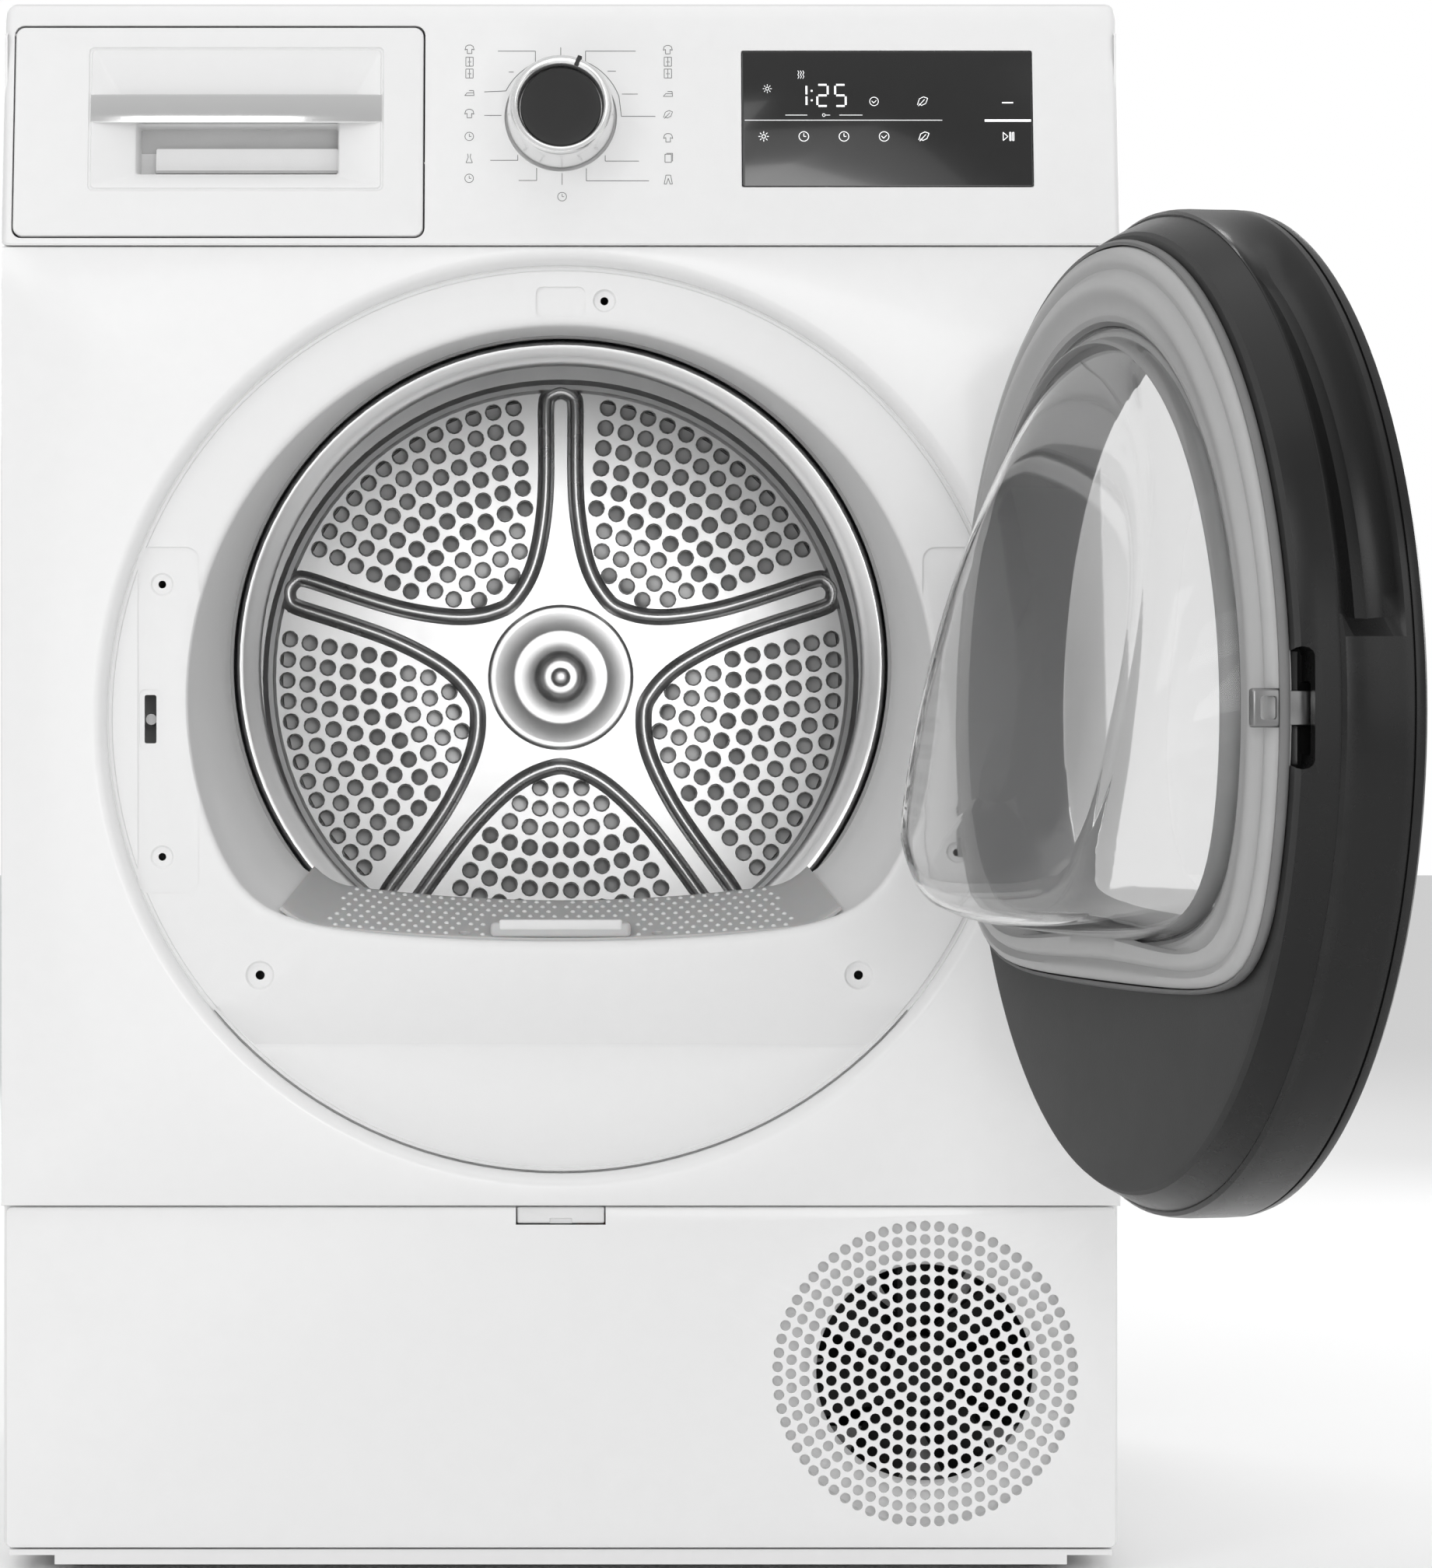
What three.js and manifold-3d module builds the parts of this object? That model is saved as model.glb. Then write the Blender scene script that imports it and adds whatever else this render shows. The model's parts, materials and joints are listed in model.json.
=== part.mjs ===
// Front-loading heat pump clothes dryer, standing on its feet, with the door open.
// Millimetres, +Z up, the front faces -Y, origin on the floor under the middle of the body.
import * as THREE from 'three';
import { mergeVertices } from 'three/addons/utils/BufferGeometryUtils.js';
import Module from 'manifold-3d';

const wasm = await Module();
wasm.setup();

// ---- driving dimensions ----
const WIDTH = 598; // over the side panels
const HEIGHT = 842; // floor to worktop
const DEPTH = 599; // front panel to the worktop's rear edge
const SHEET = 1.2; // steel sheet
const WALL = 3; // plastic wall
const GAP = 0.5; // clearance between neighbouring pieces
const RUNNING = 0.4; // radial clearance of a turning piece
const ROUND = 40; // sides of a large circle
const SMALL_ROUND = 14; // sides of a small circle

const SEAM_Z = 709.5; // front panel meets the control fascia
const FLAP_TOP_Z = 196; // front panel meets the service flap
const BASE_Z = 9; // underside of the base pan
const WORKTOP_THICK = 16;
const RETURN = 14; // folded edge of a sheet panel

const FASCIA_LEAN = 9.6; // degrees that the fascia leans back
const FASCIA_PROUD = 2; // its lower edge stands in front of the front panel
const FASCIA_DEPTH = 40; // from its lower edge back to the worktop
const DRAWER = { left: -292.8, right: -73.7, top: 829, bottom: 714, corner: 6 };
const GRIP = { left: -228, right: -119.5, top: 777, bottom: 749 };
const GRIP_BAR_HEIGHT = 14.5;
const TANK_LENGTH = 330;
const DISPLAY = { left: 96.6, right: 253.3, top: 816, bottom: 741 };
const KNOB_Z = 779.3;
const KNOB_RADIUS = 28.9;
const KNOB_HEIGHT = 24;
const KNOB_CAP_RADIUS = 22;

const RING_Z = 456.5; // middle of the ring and of the door
const RING_RADIUS = 242.5;
const RING_DEPTH = 11.5; // rolled edge into the cabinet
const OPENING_RADIUS = 200;
const OPENING_Z = 467.5;
const OPENING_BOTTOM_Z = 338;

const DRUM_Z = 487;
const DRUM_RADIUS = 278;
const DRUM_FRONT = 113; // behind the front panel
const DRUM_BACK = 482;
const DRUM_LIP_RADIUS = 167;
const DRUM_LIP_DEPTH = 14;
const SEAL_RADIUS = 182;
const SEAL_DEPTH = 90;
const HUB_RADIUS = 44;
const SHAFT_RADIUS = 12;
const STAR_ARMS = 5;
const STAR_REACH = 183;
const LIFTER = { count: 3, width: 56, height: 42, length: 290 };

const FILTER = { halfWidth: 130, front: 22, back: 72, bottom: 236, rise: 22, around: 3 };

const HINGE = { x: 245, ahead: 40, spread: 58, pin: 5, plate: 17, plateWidth: 14 };
const DOOR_OPEN = 103.3; // degrees
const DOOR_RADIUS = 240;
const DOOR_FACE_AHEAD = 20; // outer face in front of the hinge pin
const DOOR_RIM_DEEP = 38; // thickness of the outer ring
const DOOR_BACK = 38; // inner face behind the hinge pin
const FLANGE = { radius: 222, bottom: -127, corner: 60, thick: 12 };
const WINDOW = { radius: 178, bottom: -100, corner: 70 };
const BOWL = { shallow: 60, deep: 118, wall: 4, shrink: 0.76, sink: 30 };
const HOOK = { fromRim: 2, width: 17, reach: 56 };

const PULLEY_RADIUS = 12;
const MOTOR = { x: 170, z: 118, front: 60, back: 180, radius: 50 };
const BELT = { y: 30, width: 9, thick: 2.5 };
const IDLER = { radius: 15, along: 0.5 };
const ROLLER = { radius: 30, width: 18, angle: 36 };
const AIR_FAN_RADIUS = 72;
const DUCT = { radius: 252, front: 488, back: 545 };

const VENT = { x: 195, z: 106, radius: 79, slots: 12 };
const COOLING_FAN_RADIUS = 68;
const LATCH = { width: 47, height: 9, travel: 5 };
const FLAP_RECESS = 5;
const FOOT = { x: 255, y: 252, radius: 20, pad: 5, stem: 5, top: 24 };

// ---- places worked out from them ----
const RIGHT = WIDTH / 2;
const FRONT = -DEPTH / 2;
const BACK = DEPTH / 2;
const FASCIA_FRONT = FRONT - FASCIA_PROUD;
const FASCIA_BACK = FRONT + FASCIA_DEPTH;
const INSIDE = RIGHT - SHEET - GAP; // half width free between the side panels
const UNDER_TOP = HEIGHT - WORKTOP_THICK - GAP;
const FRAME_FACE = FRONT + RING_DEPTH + GAP;
const FRAME_BACK = FRAME_FACE + WALL;
const LEAN = THREE.MathUtils.degToRad(FASCIA_LEAN);
const OPEN = THREE.MathUtils.degToRad(DOOR_OPEN);
const HOOK_FROM_PIN = HINGE.x + FLANGE.radius - HOOK.fromRim;
const LATCH_X = HINGE.x - HOOK_FROM_PIN;
const INLET = { x: 230, z: 780, hole: 12, bore: 5 };
const OUTLET = { x: -240, z: 770, hole: 13, bore: 7 };
const ROLLER_PIN = 5;
const KNOB_STEM = 7;
const KNOB_STEM_LENGTH = 14;
const BEARING_FRONT = FRONT + DRUM_BACK + 8;
const BEARING_BACK = BEARING_FRONT + 30;
const MOTOR_SHAFT = 5;
const AIR_HOUSING = AIR_FAN_RADIUS + 22;
const PAN_FLOOR = BASE_Z + WALL;
const COMPRESSOR = { x: 150, y: -120, radius: 55, top: 190 };
const FOOT_NAMES = ['foot_front_left', 'foot_front_right', 'foot_rear_left', 'foot_rear_right'];
const PLUNGER = 3;

// ---- materials ----
const paint = (color, roughness, metalness = 0) =>
  new THREE.MeshStandardMaterial({ color, roughness, metalness });
const WHITE_STEEL = () => paint(0xf2f2f2, 0.35);
const WHITE_PLASTIC = () => paint(0xededed, 0.45);
const BLACK_PLASTIC = () => paint(0x161616, 0.35);
const DARK_PLASTIC = () => paint(0x3a3a3c, 0.6);
const GREY_PLASTIC = () => paint(0xa9abad, 0.5);
const STEEL = () => paint(0xc4c6c8, 0.3, 0.9);
const CHROME = () => paint(0xd8dadc, 0.12, 1);
const COPPER = () => paint(0xb8733a, 0.35, 0.9);
const ALUMINIUM = () => paint(0xb9bcc0, 0.4, 0.8);
const RUBBER = () => paint(0x1d1d1e, 0.9);
const CLEAR = () => paint(0xdfe6e6, 0.05);
const BOARD_GREEN = () => paint(0x1d5a34, 0.6);

// ---- solids ----

// A closed manifold solid from a three.js geometry, with its faces turned outwards.
function solid(geometry) {
  const bare = geometry.index ? geometry.toNonIndexed() : geometry.clone();
  bare.deleteAttribute('normal');
  bare.deleteAttribute('uv');
  const merged = mergeVertices(bare, 1e-4);
  const index = merged.index.array;
  const kept = [];
  for (let i = 0; i < index.length; i += 3) {
    const [a, b, c] = [index[i], index[i + 1], index[i + 2]];
    if (a !== b && b !== c && c !== a) kept.push(a, b, c);
  }
  const position = merged.attributes.position;
  if (signedVolume(position, kept) < 0) kept.reverse();
  return new wasm.Manifold(
    new wasm.Mesh({
      numProp: 3,
      vertProperties: position.array,
      triVerts: new Uint32Array(kept),
    }),
  );
}

function signedVolume(position, index) {
  const [a, b, c] = [new THREE.Vector3(), new THREE.Vector3(), new THREE.Vector3()];
  let sum = 0;
  for (let i = 0; i < index.length; i += 3) {
    a.fromBufferAttribute(position, index[i]);
    b.fromBufferAttribute(position, index[i + 1]);
    c.fromBufferAttribute(position, index[i + 2]);
    sum += a.dot(b.cross(c));
  }
  return sum;
}

function join(first, ...rest) {
  return rest.reduce((whole, piece) => whole.add(piece), first);
}

function cut(body, ...tools) {
  return tools.reduce((left, tool) => left.subtract(tool), body);
}

function block(x0, x1, y0, y1, z0, z1) {
  const box = new THREE.BoxGeometry(x1 - x0, y1 - y0, z1 - z0);
  return solid(box.translate((x0 + x1) / 2, (y0 + y1) / 2, (z0 + z1) / 2));
}

// Extrusions of a shape drawn as (x, z) along Y, as (y, z) along X, and as (x, y) along Z.
function alongY(shape, y0, y1) {
  const body = new THREE.ExtrudeGeometry(shape, { depth: y1 - y0, bevelEnabled: false });
  return solid(body.rotateX(Math.PI / 2).translate(0, y1, 0));
}

function alongX(shape, x0, x1) {
  const body = new THREE.ExtrudeGeometry(shape, { depth: x1 - x0, bevelEnabled: false });
  const turn = new THREE.Matrix4().makeBasis(
    new THREE.Vector3(0, 1, 0),
    new THREE.Vector3(0, 0, 1),
    new THREE.Vector3(1, 0, 0),
  );
  return solid(body.applyMatrix4(turn).translate(x0, 0, 0));
}

function alongZ(shape, z0, z1) {
  const body = new THREE.ExtrudeGeometry(shape, { depth: z1 - z0, bevelEnabled: false });
  return solid(body.translate(0, 0, z0));
}

// Turned pieces: a closed profile of [radius, distance] pairs about an axis along Y or Z.
function turnedY(profile, x, z, sides = ROUND) {
  return solid(lathe(profile, sides).translate(x, 0, z));
}

function turnedZ(profile, x, y, sides = SMALL_ROUND) {
  return solid(lathe(profile, sides).rotateX(Math.PI / 2).translate(x, y, 0));
}

function lathe(profile, sides) {
  const points = [...profile, profile[0]].map(([r, d]) => new THREE.Vector2(r, d));
  return new THREE.LatheGeometry(points, sides);
}

function discY(radius, y0, y1, x, z, sides = ROUND) {
  return turnedY([[0, y0], [radius, y0], [radius, y1], [0, y1]], x, z, sides);
}

function ringY(outer, inner, y0, y1, x, z, sides = ROUND) {
  return turnedY([[inner, y0], [outer, y0], [outer, y1], [inner, y1]], x, z, sides);
}

function polygon(points) {
  return new THREE.Shape(points.map(([a, b]) => new THREE.Vector2(a, b)));
}

function rectangle(a0, a1, b0, b1) {
  return polygon([[a0, b0], [a1, b0], [a1, b1], [a0, b1]]);
}

function roundedRectangle({ left, right, top, bottom, corner }) {
  const shape = new THREE.Shape();
  const quarter = Math.PI / 2;
  shape.absarc(right - corner, top - corner, corner, 0, quarter);
  shape.absarc(left + corner, top - corner, corner, quarter, 2 * quarter);
  shape.absarc(left + corner, bottom + corner, corner, 2 * quarter, 3 * quarter);
  shape.absarc(right - corner, bottom + corner, corner, 3 * quarter, 4 * quarter);
  return polygon(shape.getPoints(3).map((p) => [p.x, p.y]));
}

// A circle whose lower part is cut off flat, with rounded corners, about (0, z).
function dPoints(radius, bottom, corner, z, sides = ROUND) {
  const sink = Math.abs(bottom) - corner;
  const reach = Math.sqrt((radius - corner) ** 2 - sink ** 2);
  const toCorner = Math.atan2(-sink, reach);
  const points = [];
  for (let i = 0; i <= sides; i += 1) {
    const angle = toCorner + ((Math.PI - 2 * toCorner) * i) / sides;
    points.push([radius * Math.cos(angle), z + radius * Math.sin(angle)]);
  }
  const steps = Math.round(sides / 10);
  const arc = (side, from, to) => {
    for (let i = 1; i <= steps; i += 1) {
      const angle = from + ((to - from) * i) / steps;
      points.push([side * reach + corner * Math.cos(angle), z - sink + corner * Math.sin(angle)]);
    }
  };
  arc(-1, Math.PI - toCorner, 1.5 * Math.PI);
  arc(1, 1.5 * Math.PI, 2 * Math.PI + toCorner);
  points.pop();
  return points;
}

// A ring between loops of equally many [x, y, z] points, closed from the last loop to the first.
function loftRing(loops) {
  const count = loops[0].length;
  const index = [];
  for (let l = 0; l < loops.length; l += 1) {
    const here = l * count;
    const next = ((l + 1) % loops.length) * count;
    for (let i = 0; i < count; i += 1) {
      const j = (i + 1) % count;
      index.push(here + i, here + j, next + j, here + i, next + j, next + i);
    }
  }
  return fromIndex(loops.flat(), index);
}

// A closed body through loops of equally many points, capped with a middle point at each end.
function loftCapped(loops) {
  const count = loops[0].length;
  const points = loops.flat();
  const index = [];
  for (let l = 0; l + 1 < loops.length; l += 1) {
    for (let i = 0; i < count; i += 1) {
      const j = (i + 1) % count;
      const here = l * count;
      const next = here + count;
      index.push(here + i, here + j, next + j, here + i, next + j, next + i);
    }
  }
  const ends = [[0, true], [(loops.length - 1) * count, false]];
  for (const [start, first] of ends) {
    const loop = points.slice(start, start + count);
    const middle = [0, 1, 2].map((k) => loop.reduce((sum, p) => sum + p[k], 0) / count);
    const centre = points.push(middle) - 1;
    for (let i = 0; i < count; i += 1) {
      const j = (i + 1) % count;
      if (first) index.push(start + j, start + i, centre);
      else index.push(start + i, start + j, centre);
    }
  }
  return fromIndex(points, index);
}

function fromIndex(points, index) {
  const geometry = new THREE.BufferGeometry();
  geometry.setAttribute('position', new THREE.Float32BufferAttribute(points.flat(), 3));
  geometry.setIndex(index);
  return solid(geometry);
}

function circlePoints(radius, x, z, sides = ROUND) {
  return Array.from({ length: sides }, (_, i) => {
    const angle = (2 * Math.PI * i) / sides;
    return [x + radius * Math.cos(angle), z + radius * Math.sin(angle)];
  });
}

function aboutY(body, degrees, x, z) {
  return body.translate(-x, 0, -z).rotate(0, degrees, 0).translate(x, 0, z);
}

// ---- the scene ----
const dryer = new THREE.Group();

function add(group, name, body, material) {
  const { vertProperties, triVerts } = body.getMesh();
  const geometry = new THREE.BufferGeometry();
  geometry.setAttribute('position', new THREE.BufferAttribute(vertProperties, 3));
  geometry.setIndex(new THREE.BufferAttribute(triVerts, 1));
  geometry.computeVertexNormals();
  const mesh = new THREE.Mesh(geometry, material);
  mesh.name = name;
  group.add(mesh);
}

// The leaning face of the control fascia, as the Y of a height.
function fasciaY(z) {
  return FASCIA_FRONT + (z - SEAM_Z) * Math.tan(LEAN);
}

// A piece drawn upright at the fascia's lower edge, leaned back onto its face.
function leaned(shape, out, into) {
  const low = SEAM_Z;
  const scale = 1 / Math.cos(LEAN);
  const flat = alongY(shape, -out, into).translate(0, 0, -low).scale([1, 1, scale]);
  return flat.rotate(-FASCIA_LEAN, 0, 0).translate(0, FASCIA_FRONT, low);
}

// ---- cabinet ----

function addCabinet() {
  const edge = 2;
  const top = polygon([
    [FASCIA_BACK + GAP, HEIGHT - WORKTOP_THICK],
    [BACK, HEIGHT - WORKTOP_THICK],
    [BACK, HEIGHT - edge],
    [BACK - edge, HEIGHT],
    [FASCIA_BACK + GAP, HEIGHT],
  ]);
  add(dryer, 'worktop', alongX(top, -RIGHT, RIGHT), WHITE_PLASTIC());

  const start = FRONT + RETURN + GAP;
  const end = BACK - 2 * SHEET - 2 * GAP;
  const fold = 20;
  for (const [name, side] of [['side_panel_left', -1], ['side_panel_right', 1]]) {
    const section = polygon([
      [side * RIGHT, start],
      [side * RIGHT, end],
      [side * (RIGHT - fold), end],
      [side * (RIGHT - fold), end - SHEET],
      [side * (RIGHT - SHEET), end - SHEET],
      [side * (RIGHT - SHEET), start + SHEET],
      [side * (RIGHT - fold), start + SHEET],
      [side * (RIGHT - fold), start],
    ]);
    const fasciaRoom = block(-WIDTH, WIDTH, FRONT - fold, FASCIA_BACK + GAP, SEAM_Z - GAP, HEIGHT);
    const room = block(-WIDTH, WIDTH, FRONT - fold, start + SHEET + GAP, 0, FLAP_TOP_Z + GAP);
    const panel = cut(alongZ(section, BASE_Z + WALL + GAP, UNDER_TOP), fasciaRoom, room);
    add(dryer, name, panel, WHITE_STEEL());
  }

  const rear = cut(
    alongY(rectangle(-RIGHT + SHEET, RIGHT - SHEET, BASE_Z, UNDER_TOP), end + GAP, end + GAP + SHEET),
    ...[-1, 0, 1].map((i) => block(-60, 60, end, BACK, 300 + 60 * i, 318 + 60 * i)),
    discY(INLET.hole, end, BACK, INLET.x, INLET.z, SMALL_ROUND),
    discY(OUTLET.hole, end, BACK, OUTLET.x, OUTLET.z, SMALL_ROUND),
  );
  add(dryer, 'back_panel', rear, WHITE_STEEL());

  const inlet = join(
    discY(INLET.hole - GAP, end - 14, end + GAP, INLET.x, INLET.z, SMALL_ROUND),
    discY(INLET.hole + 4, end - 22, end - 14, INLET.x, INLET.z, SMALL_ROUND),
  );
  const cordBore = discY(INLET.bore, end - 30, BACK, INLET.x, INLET.z, 12);
  add(dryer, 'cord_inlet', cut(inlet, cordBore), BLACK_PLASTIC());

  const outlet = join(
    discY(OUTLET.hole - GAP, end - 10, BACK - 1, OUTLET.x, OUTLET.z, SMALL_ROUND),
    discY(OUTLET.hole + 5, end - 16, end - 10, OUTLET.x, OUTLET.z, SMALL_ROUND),
  );
  const drainBore = discY(OUTLET.bore, end - 30, BACK, OUTLET.x, OUTLET.z, 12);
  add(dryer, 'drain_outlet', cut(outlet, drainBore), GREY_PLASTIC());
}

// ---- front panel, loading frame and front seal ----

function addFront() {
  const low = FLAP_TOP_Z + GAP;
  const high = SEAM_Z - GAP;
  const tray = cut(
    block(-RIGHT, RIGHT, FRONT, FRONT + RETURN, low, high),
    block(-RIGHT + SHEET, RIGHT - SHEET, FRONT + SHEET, 0, low + SHEET, high - SHEET),
    discY(RING_RADIUS, FRONT - 1, 0, 0, RING_Z),
  );
  const lip = ringY(RING_RADIUS + SHEET, RING_RADIUS, FRONT, FRONT + RING_DEPTH, 0, RING_Z);
  add(dryer, 'front_panel', join(tray, lip), WHITE_STEEL());

  const sealEnd = FRONT + SEAL_DEPTH;
  const mouth = circlePoints(OPENING_RADIUS, 0, OPENING_Z);
  const throat = circlePoints(SEAL_RADIUS, 0, DRUM_Z);
  const mouthOut = circlePoints(OPENING_RADIUS + WALL, 0, OPENING_Z);
  const throatOut = circlePoints(SEAL_RADIUS + WALL, 0, DRUM_Z);
  const at = (loop, y) => loop.map(([x, z]) => [x, y, z]);
  const funnel = loftRing([
    at(mouthOut, FRAME_FACE),
    at(throatOut, sealEnd),
    at(throat, sealEnd),
    at(mouth, FRAME_FACE),
  ]);
  const inside = loftCapped([at(mouthOut, FRAME_FACE), at(throatOut, sealEnd)]);
  const clear = loftCapped([at(mouth, FRAME_FACE), at(throat, sealEnd)]);
  const slope = (front, back, under) => [
    [front, OPENING_BOTTOM_Z - under + shelfRise(front)],
    [back, OPENING_BOTTOM_Z - under + shelfRise(back)],
  ];
  const shelfShape = polygon([
    ...slope(FRAME_FACE, sealEnd, WALL),
    ...slope(FRAME_FACE, sealEnd, 0).reverse(),
  ]);
  const shelf = alongX(shelfShape, -OPENING_RADIUS, OPENING_RADIUS).intersect(inside);
  const half = RIGHT - 22;
  const plate = cut(
    alongY(rectangle(-half, half, low + RETURN + 2, high - 4), FRAME_FACE, FRAME_BACK),
    clear.intersect(block(-WIDTH, WIDTH, FRONT, 0, OPENING_BOTTOM_Z, HEIGHT)),
    block(LATCH_X - 8, LATCH_X + 8, FRONT, 0, RING_Z - 16, RING_Z + 16),
  );
  const filterRoom = block(
    -FILTER.halfWidth - 5,
    FILTER.halfWidth + 5,
    FRONT + FILTER.front - 5,
    FRONT + FILTER.back + 5,
    0,
    OPENING_BOTTOM_Z + FILTER.rise + 2,
  );
  const stubs = rollerPlaces().map(([x, z]) => {
    const pin = discY(ROLLER_PIN, FRAME_BACK - 1, rollerFront() + ROLLER.width + 4, x, z, SMALL_ROUND);
    const boss = discY(ROLLER_PIN + 8, FRAME_BACK - 1, rollerFront() - 1, x, z, SMALL_ROUND);
    return join(pin, boss);
  });
  const frame = join(cut(join(plate, funnel, shelf, ...stubs), filterRoom), filterChute());
  add(dryer, 'loading_frame', frame, WHITE_PLASTIC());

  const seal = ringY(
    SEAL_RADIUS + WALL,
    DRUM_LIP_RADIUS + 9 + RUNNING,
    sealEnd + GAP,
    sealEnd + DRUM_LIP_DEPTH + GAP,
    0,
    DRUM_Z,
  );
  add(dryer, 'front_seal', seal, RUBBER());
}

// The open-ended chute that the filter drops into, moulded on the frame's back.
function filterChute() {
  const half = FILTER.halfWidth;
  const [front, back] = [FRONT + FILTER.front, FRONT + FILTER.back];
  const [low, high] = [FILTER.bottom - 8, OPENING_BOTTOM_Z - 2 * WALL];
  const side = half + FILTER.around;
  return cut(
    block(-side, side, FRAME_BACK - 1, back + FILTER.around, low, high),
    block(-half - 1, half + 1, front - 1, back + 1, low - 1, high + 1),
  );
}

// The shelf under the opening rises from the frame's face to the drum.
function shelfRise(y) {
  return (FILTER.rise * (y - FRAME_FACE)) / (FRONT + SEAL_DEPTH - FRAME_FACE);
}

function rollerFront() {
  return FRONT + DRUM_FRONT + 12;
}

function rollerPlaces() {
  const reach = DRUM_RADIUS + ROLLER.radius + 1;
  const angle = THREE.MathUtils.degToRad(ROLLER.angle);
  const [x, z] = [reach * Math.sin(angle), DRUM_Z - reach * Math.cos(angle)];
  return [[-x, z], [x, z]];
}

// ---- control fascia, knob, display, drawer ----

function addControls() {
  const round = 10;
  const topFront = fasciaY(HEIGHT - round);
  const outer = polygon([
    [FASCIA_FRONT, SEAM_Z],
    [topFront, HEIGHT - round],
    [topFront + 3, HEIGHT - 3],
    [topFront + round, HEIGHT],
    [FASCIA_BACK, HEIGHT],
    [FASCIA_BACK, SEAM_Z],
  ]);
  const hollow = polygon([
    [FASCIA_FRONT + WALL, SEAM_Z - 1],
    [FASCIA_FRONT + WALL + 1, SEAM_Z + WALL],
    [topFront + WALL, HEIGHT - round - 2],
    [topFront + round, HEIGHT - WALL],
    [FASCIA_BACK + 1, HEIGHT - WALL],
    [FASCIA_BACK + 1, SEAM_Z - 1],
  ]);
  const drawerHole = roundedRectangle({
    left: DRAWER.left - 1,
    right: DRAWER.right + 1,
    top: DRAWER.top - 2,
    bottom: DRAWER.bottom - 1,
    corner: DRAWER.corner,
  });
  const fascia = cut(
    alongX(outer, -RIGHT, RIGHT),
    alongX(hollow, -RIGHT + WALL, RIGHT - WALL),
    leaned(drawerHole, 20, 60),
    leaned(roundedRectangle({ ...DISPLAY, corner: 2 }), 10, 2),
    leaned(rectangle(DISPLAY.left + 6, DISPLAY.right - 6, DISPLAY.bottom + 6, DISPLAY.top - 6), 10, 12),
    leaned(circleShape(KNOB_STEM + 1, 0, KNOB_Z), 10, 12),
  );
  add(dryer, 'control_fascia', fascia, WHITE_PLASTIC());

  const pane = leaned(
    roundedRectangle({
      left: DISPLAY.left + GAP,
      right: DISPLAY.right - GAP,
      top: DISPLAY.top - GAP,
      bottom: DISPLAY.bottom + GAP,
      corner: 2,
    }),
    0,
    2 - GAP,
  );
  add(dryer, 'display_pane', pane, BLACK_PLASTIC());

  const boardY = FASCIA_BACK - 12;
  const board = join(
    block(-62, 270, boardY, boardY + 1.6, SEAM_Z + 12, HEIGHT - 34),
    block(-18, 18, boardY - 1, boardY, KNOB_Z - 18, KNOB_Z + 12),
    block(120, 150, boardY + 1, boardY + 9, SEAM_Z + 20, SEAM_Z + 60),
  );
  add(dryer, 'control_board', board, BOARD_GREEN());

  const knob = onFascia(
    cut(
      turned([
        [0, -KNOB_STEM_LENGTH],
        [KNOB_STEM, -KNOB_STEM_LENGTH],
        [KNOB_STEM, RUNNING],
        [KNOB_RADIUS - 1, RUNNING],
        [KNOB_RADIUS, 2],
        [KNOB_RADIUS - 2, KNOB_HEIGHT - 1],
        [KNOB_RADIUS - 3, KNOB_HEIGHT],
        [0, KNOB_HEIGHT],
      ]),
      turned([
        [0, KNOB_HEIGHT - 4],
        [KNOB_CAP_RADIUS, KNOB_HEIGHT - 4],
        [KNOB_CAP_RADIUS + 2, KNOB_HEIGHT + 1],
        [0, KNOB_HEIGHT + 1],
      ]),
    ),
  );
  add(dryer, 'programme_knob', knob, CHROME());
  const cap = turned([
    [0, KNOB_HEIGHT - 3.6],
    [KNOB_CAP_RADIUS - GAP, KNOB_HEIGHT - 3.6],
    [KNOB_CAP_RADIUS - GAP, KNOB_HEIGHT - 2],
    [0, KNOB_HEIGHT - 2],
  ]);
  add(dryer, 'knob_cap', onFascia(cap), DARK_PLASTIC());
}

function turned(profile) {
  const points = [...profile, profile[0]].map(([r, d]) => new THREE.Vector2(r, d));
  return solid(new THREE.LatheGeometry(points, 24).rotateX(Math.PI));
}

// A piece turned about the fascia's outward normal at the knob's place.
function onFascia(body) {
  return body.rotate(-FASCIA_LEAN, 0, 0).translate(0, fasciaY(KNOB_Z), KNOB_Z);
}

function circleShape(radius, a, b) {
  return polygon(circlePoints(radius, a, b, SMALL_ROUND));
}

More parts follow.
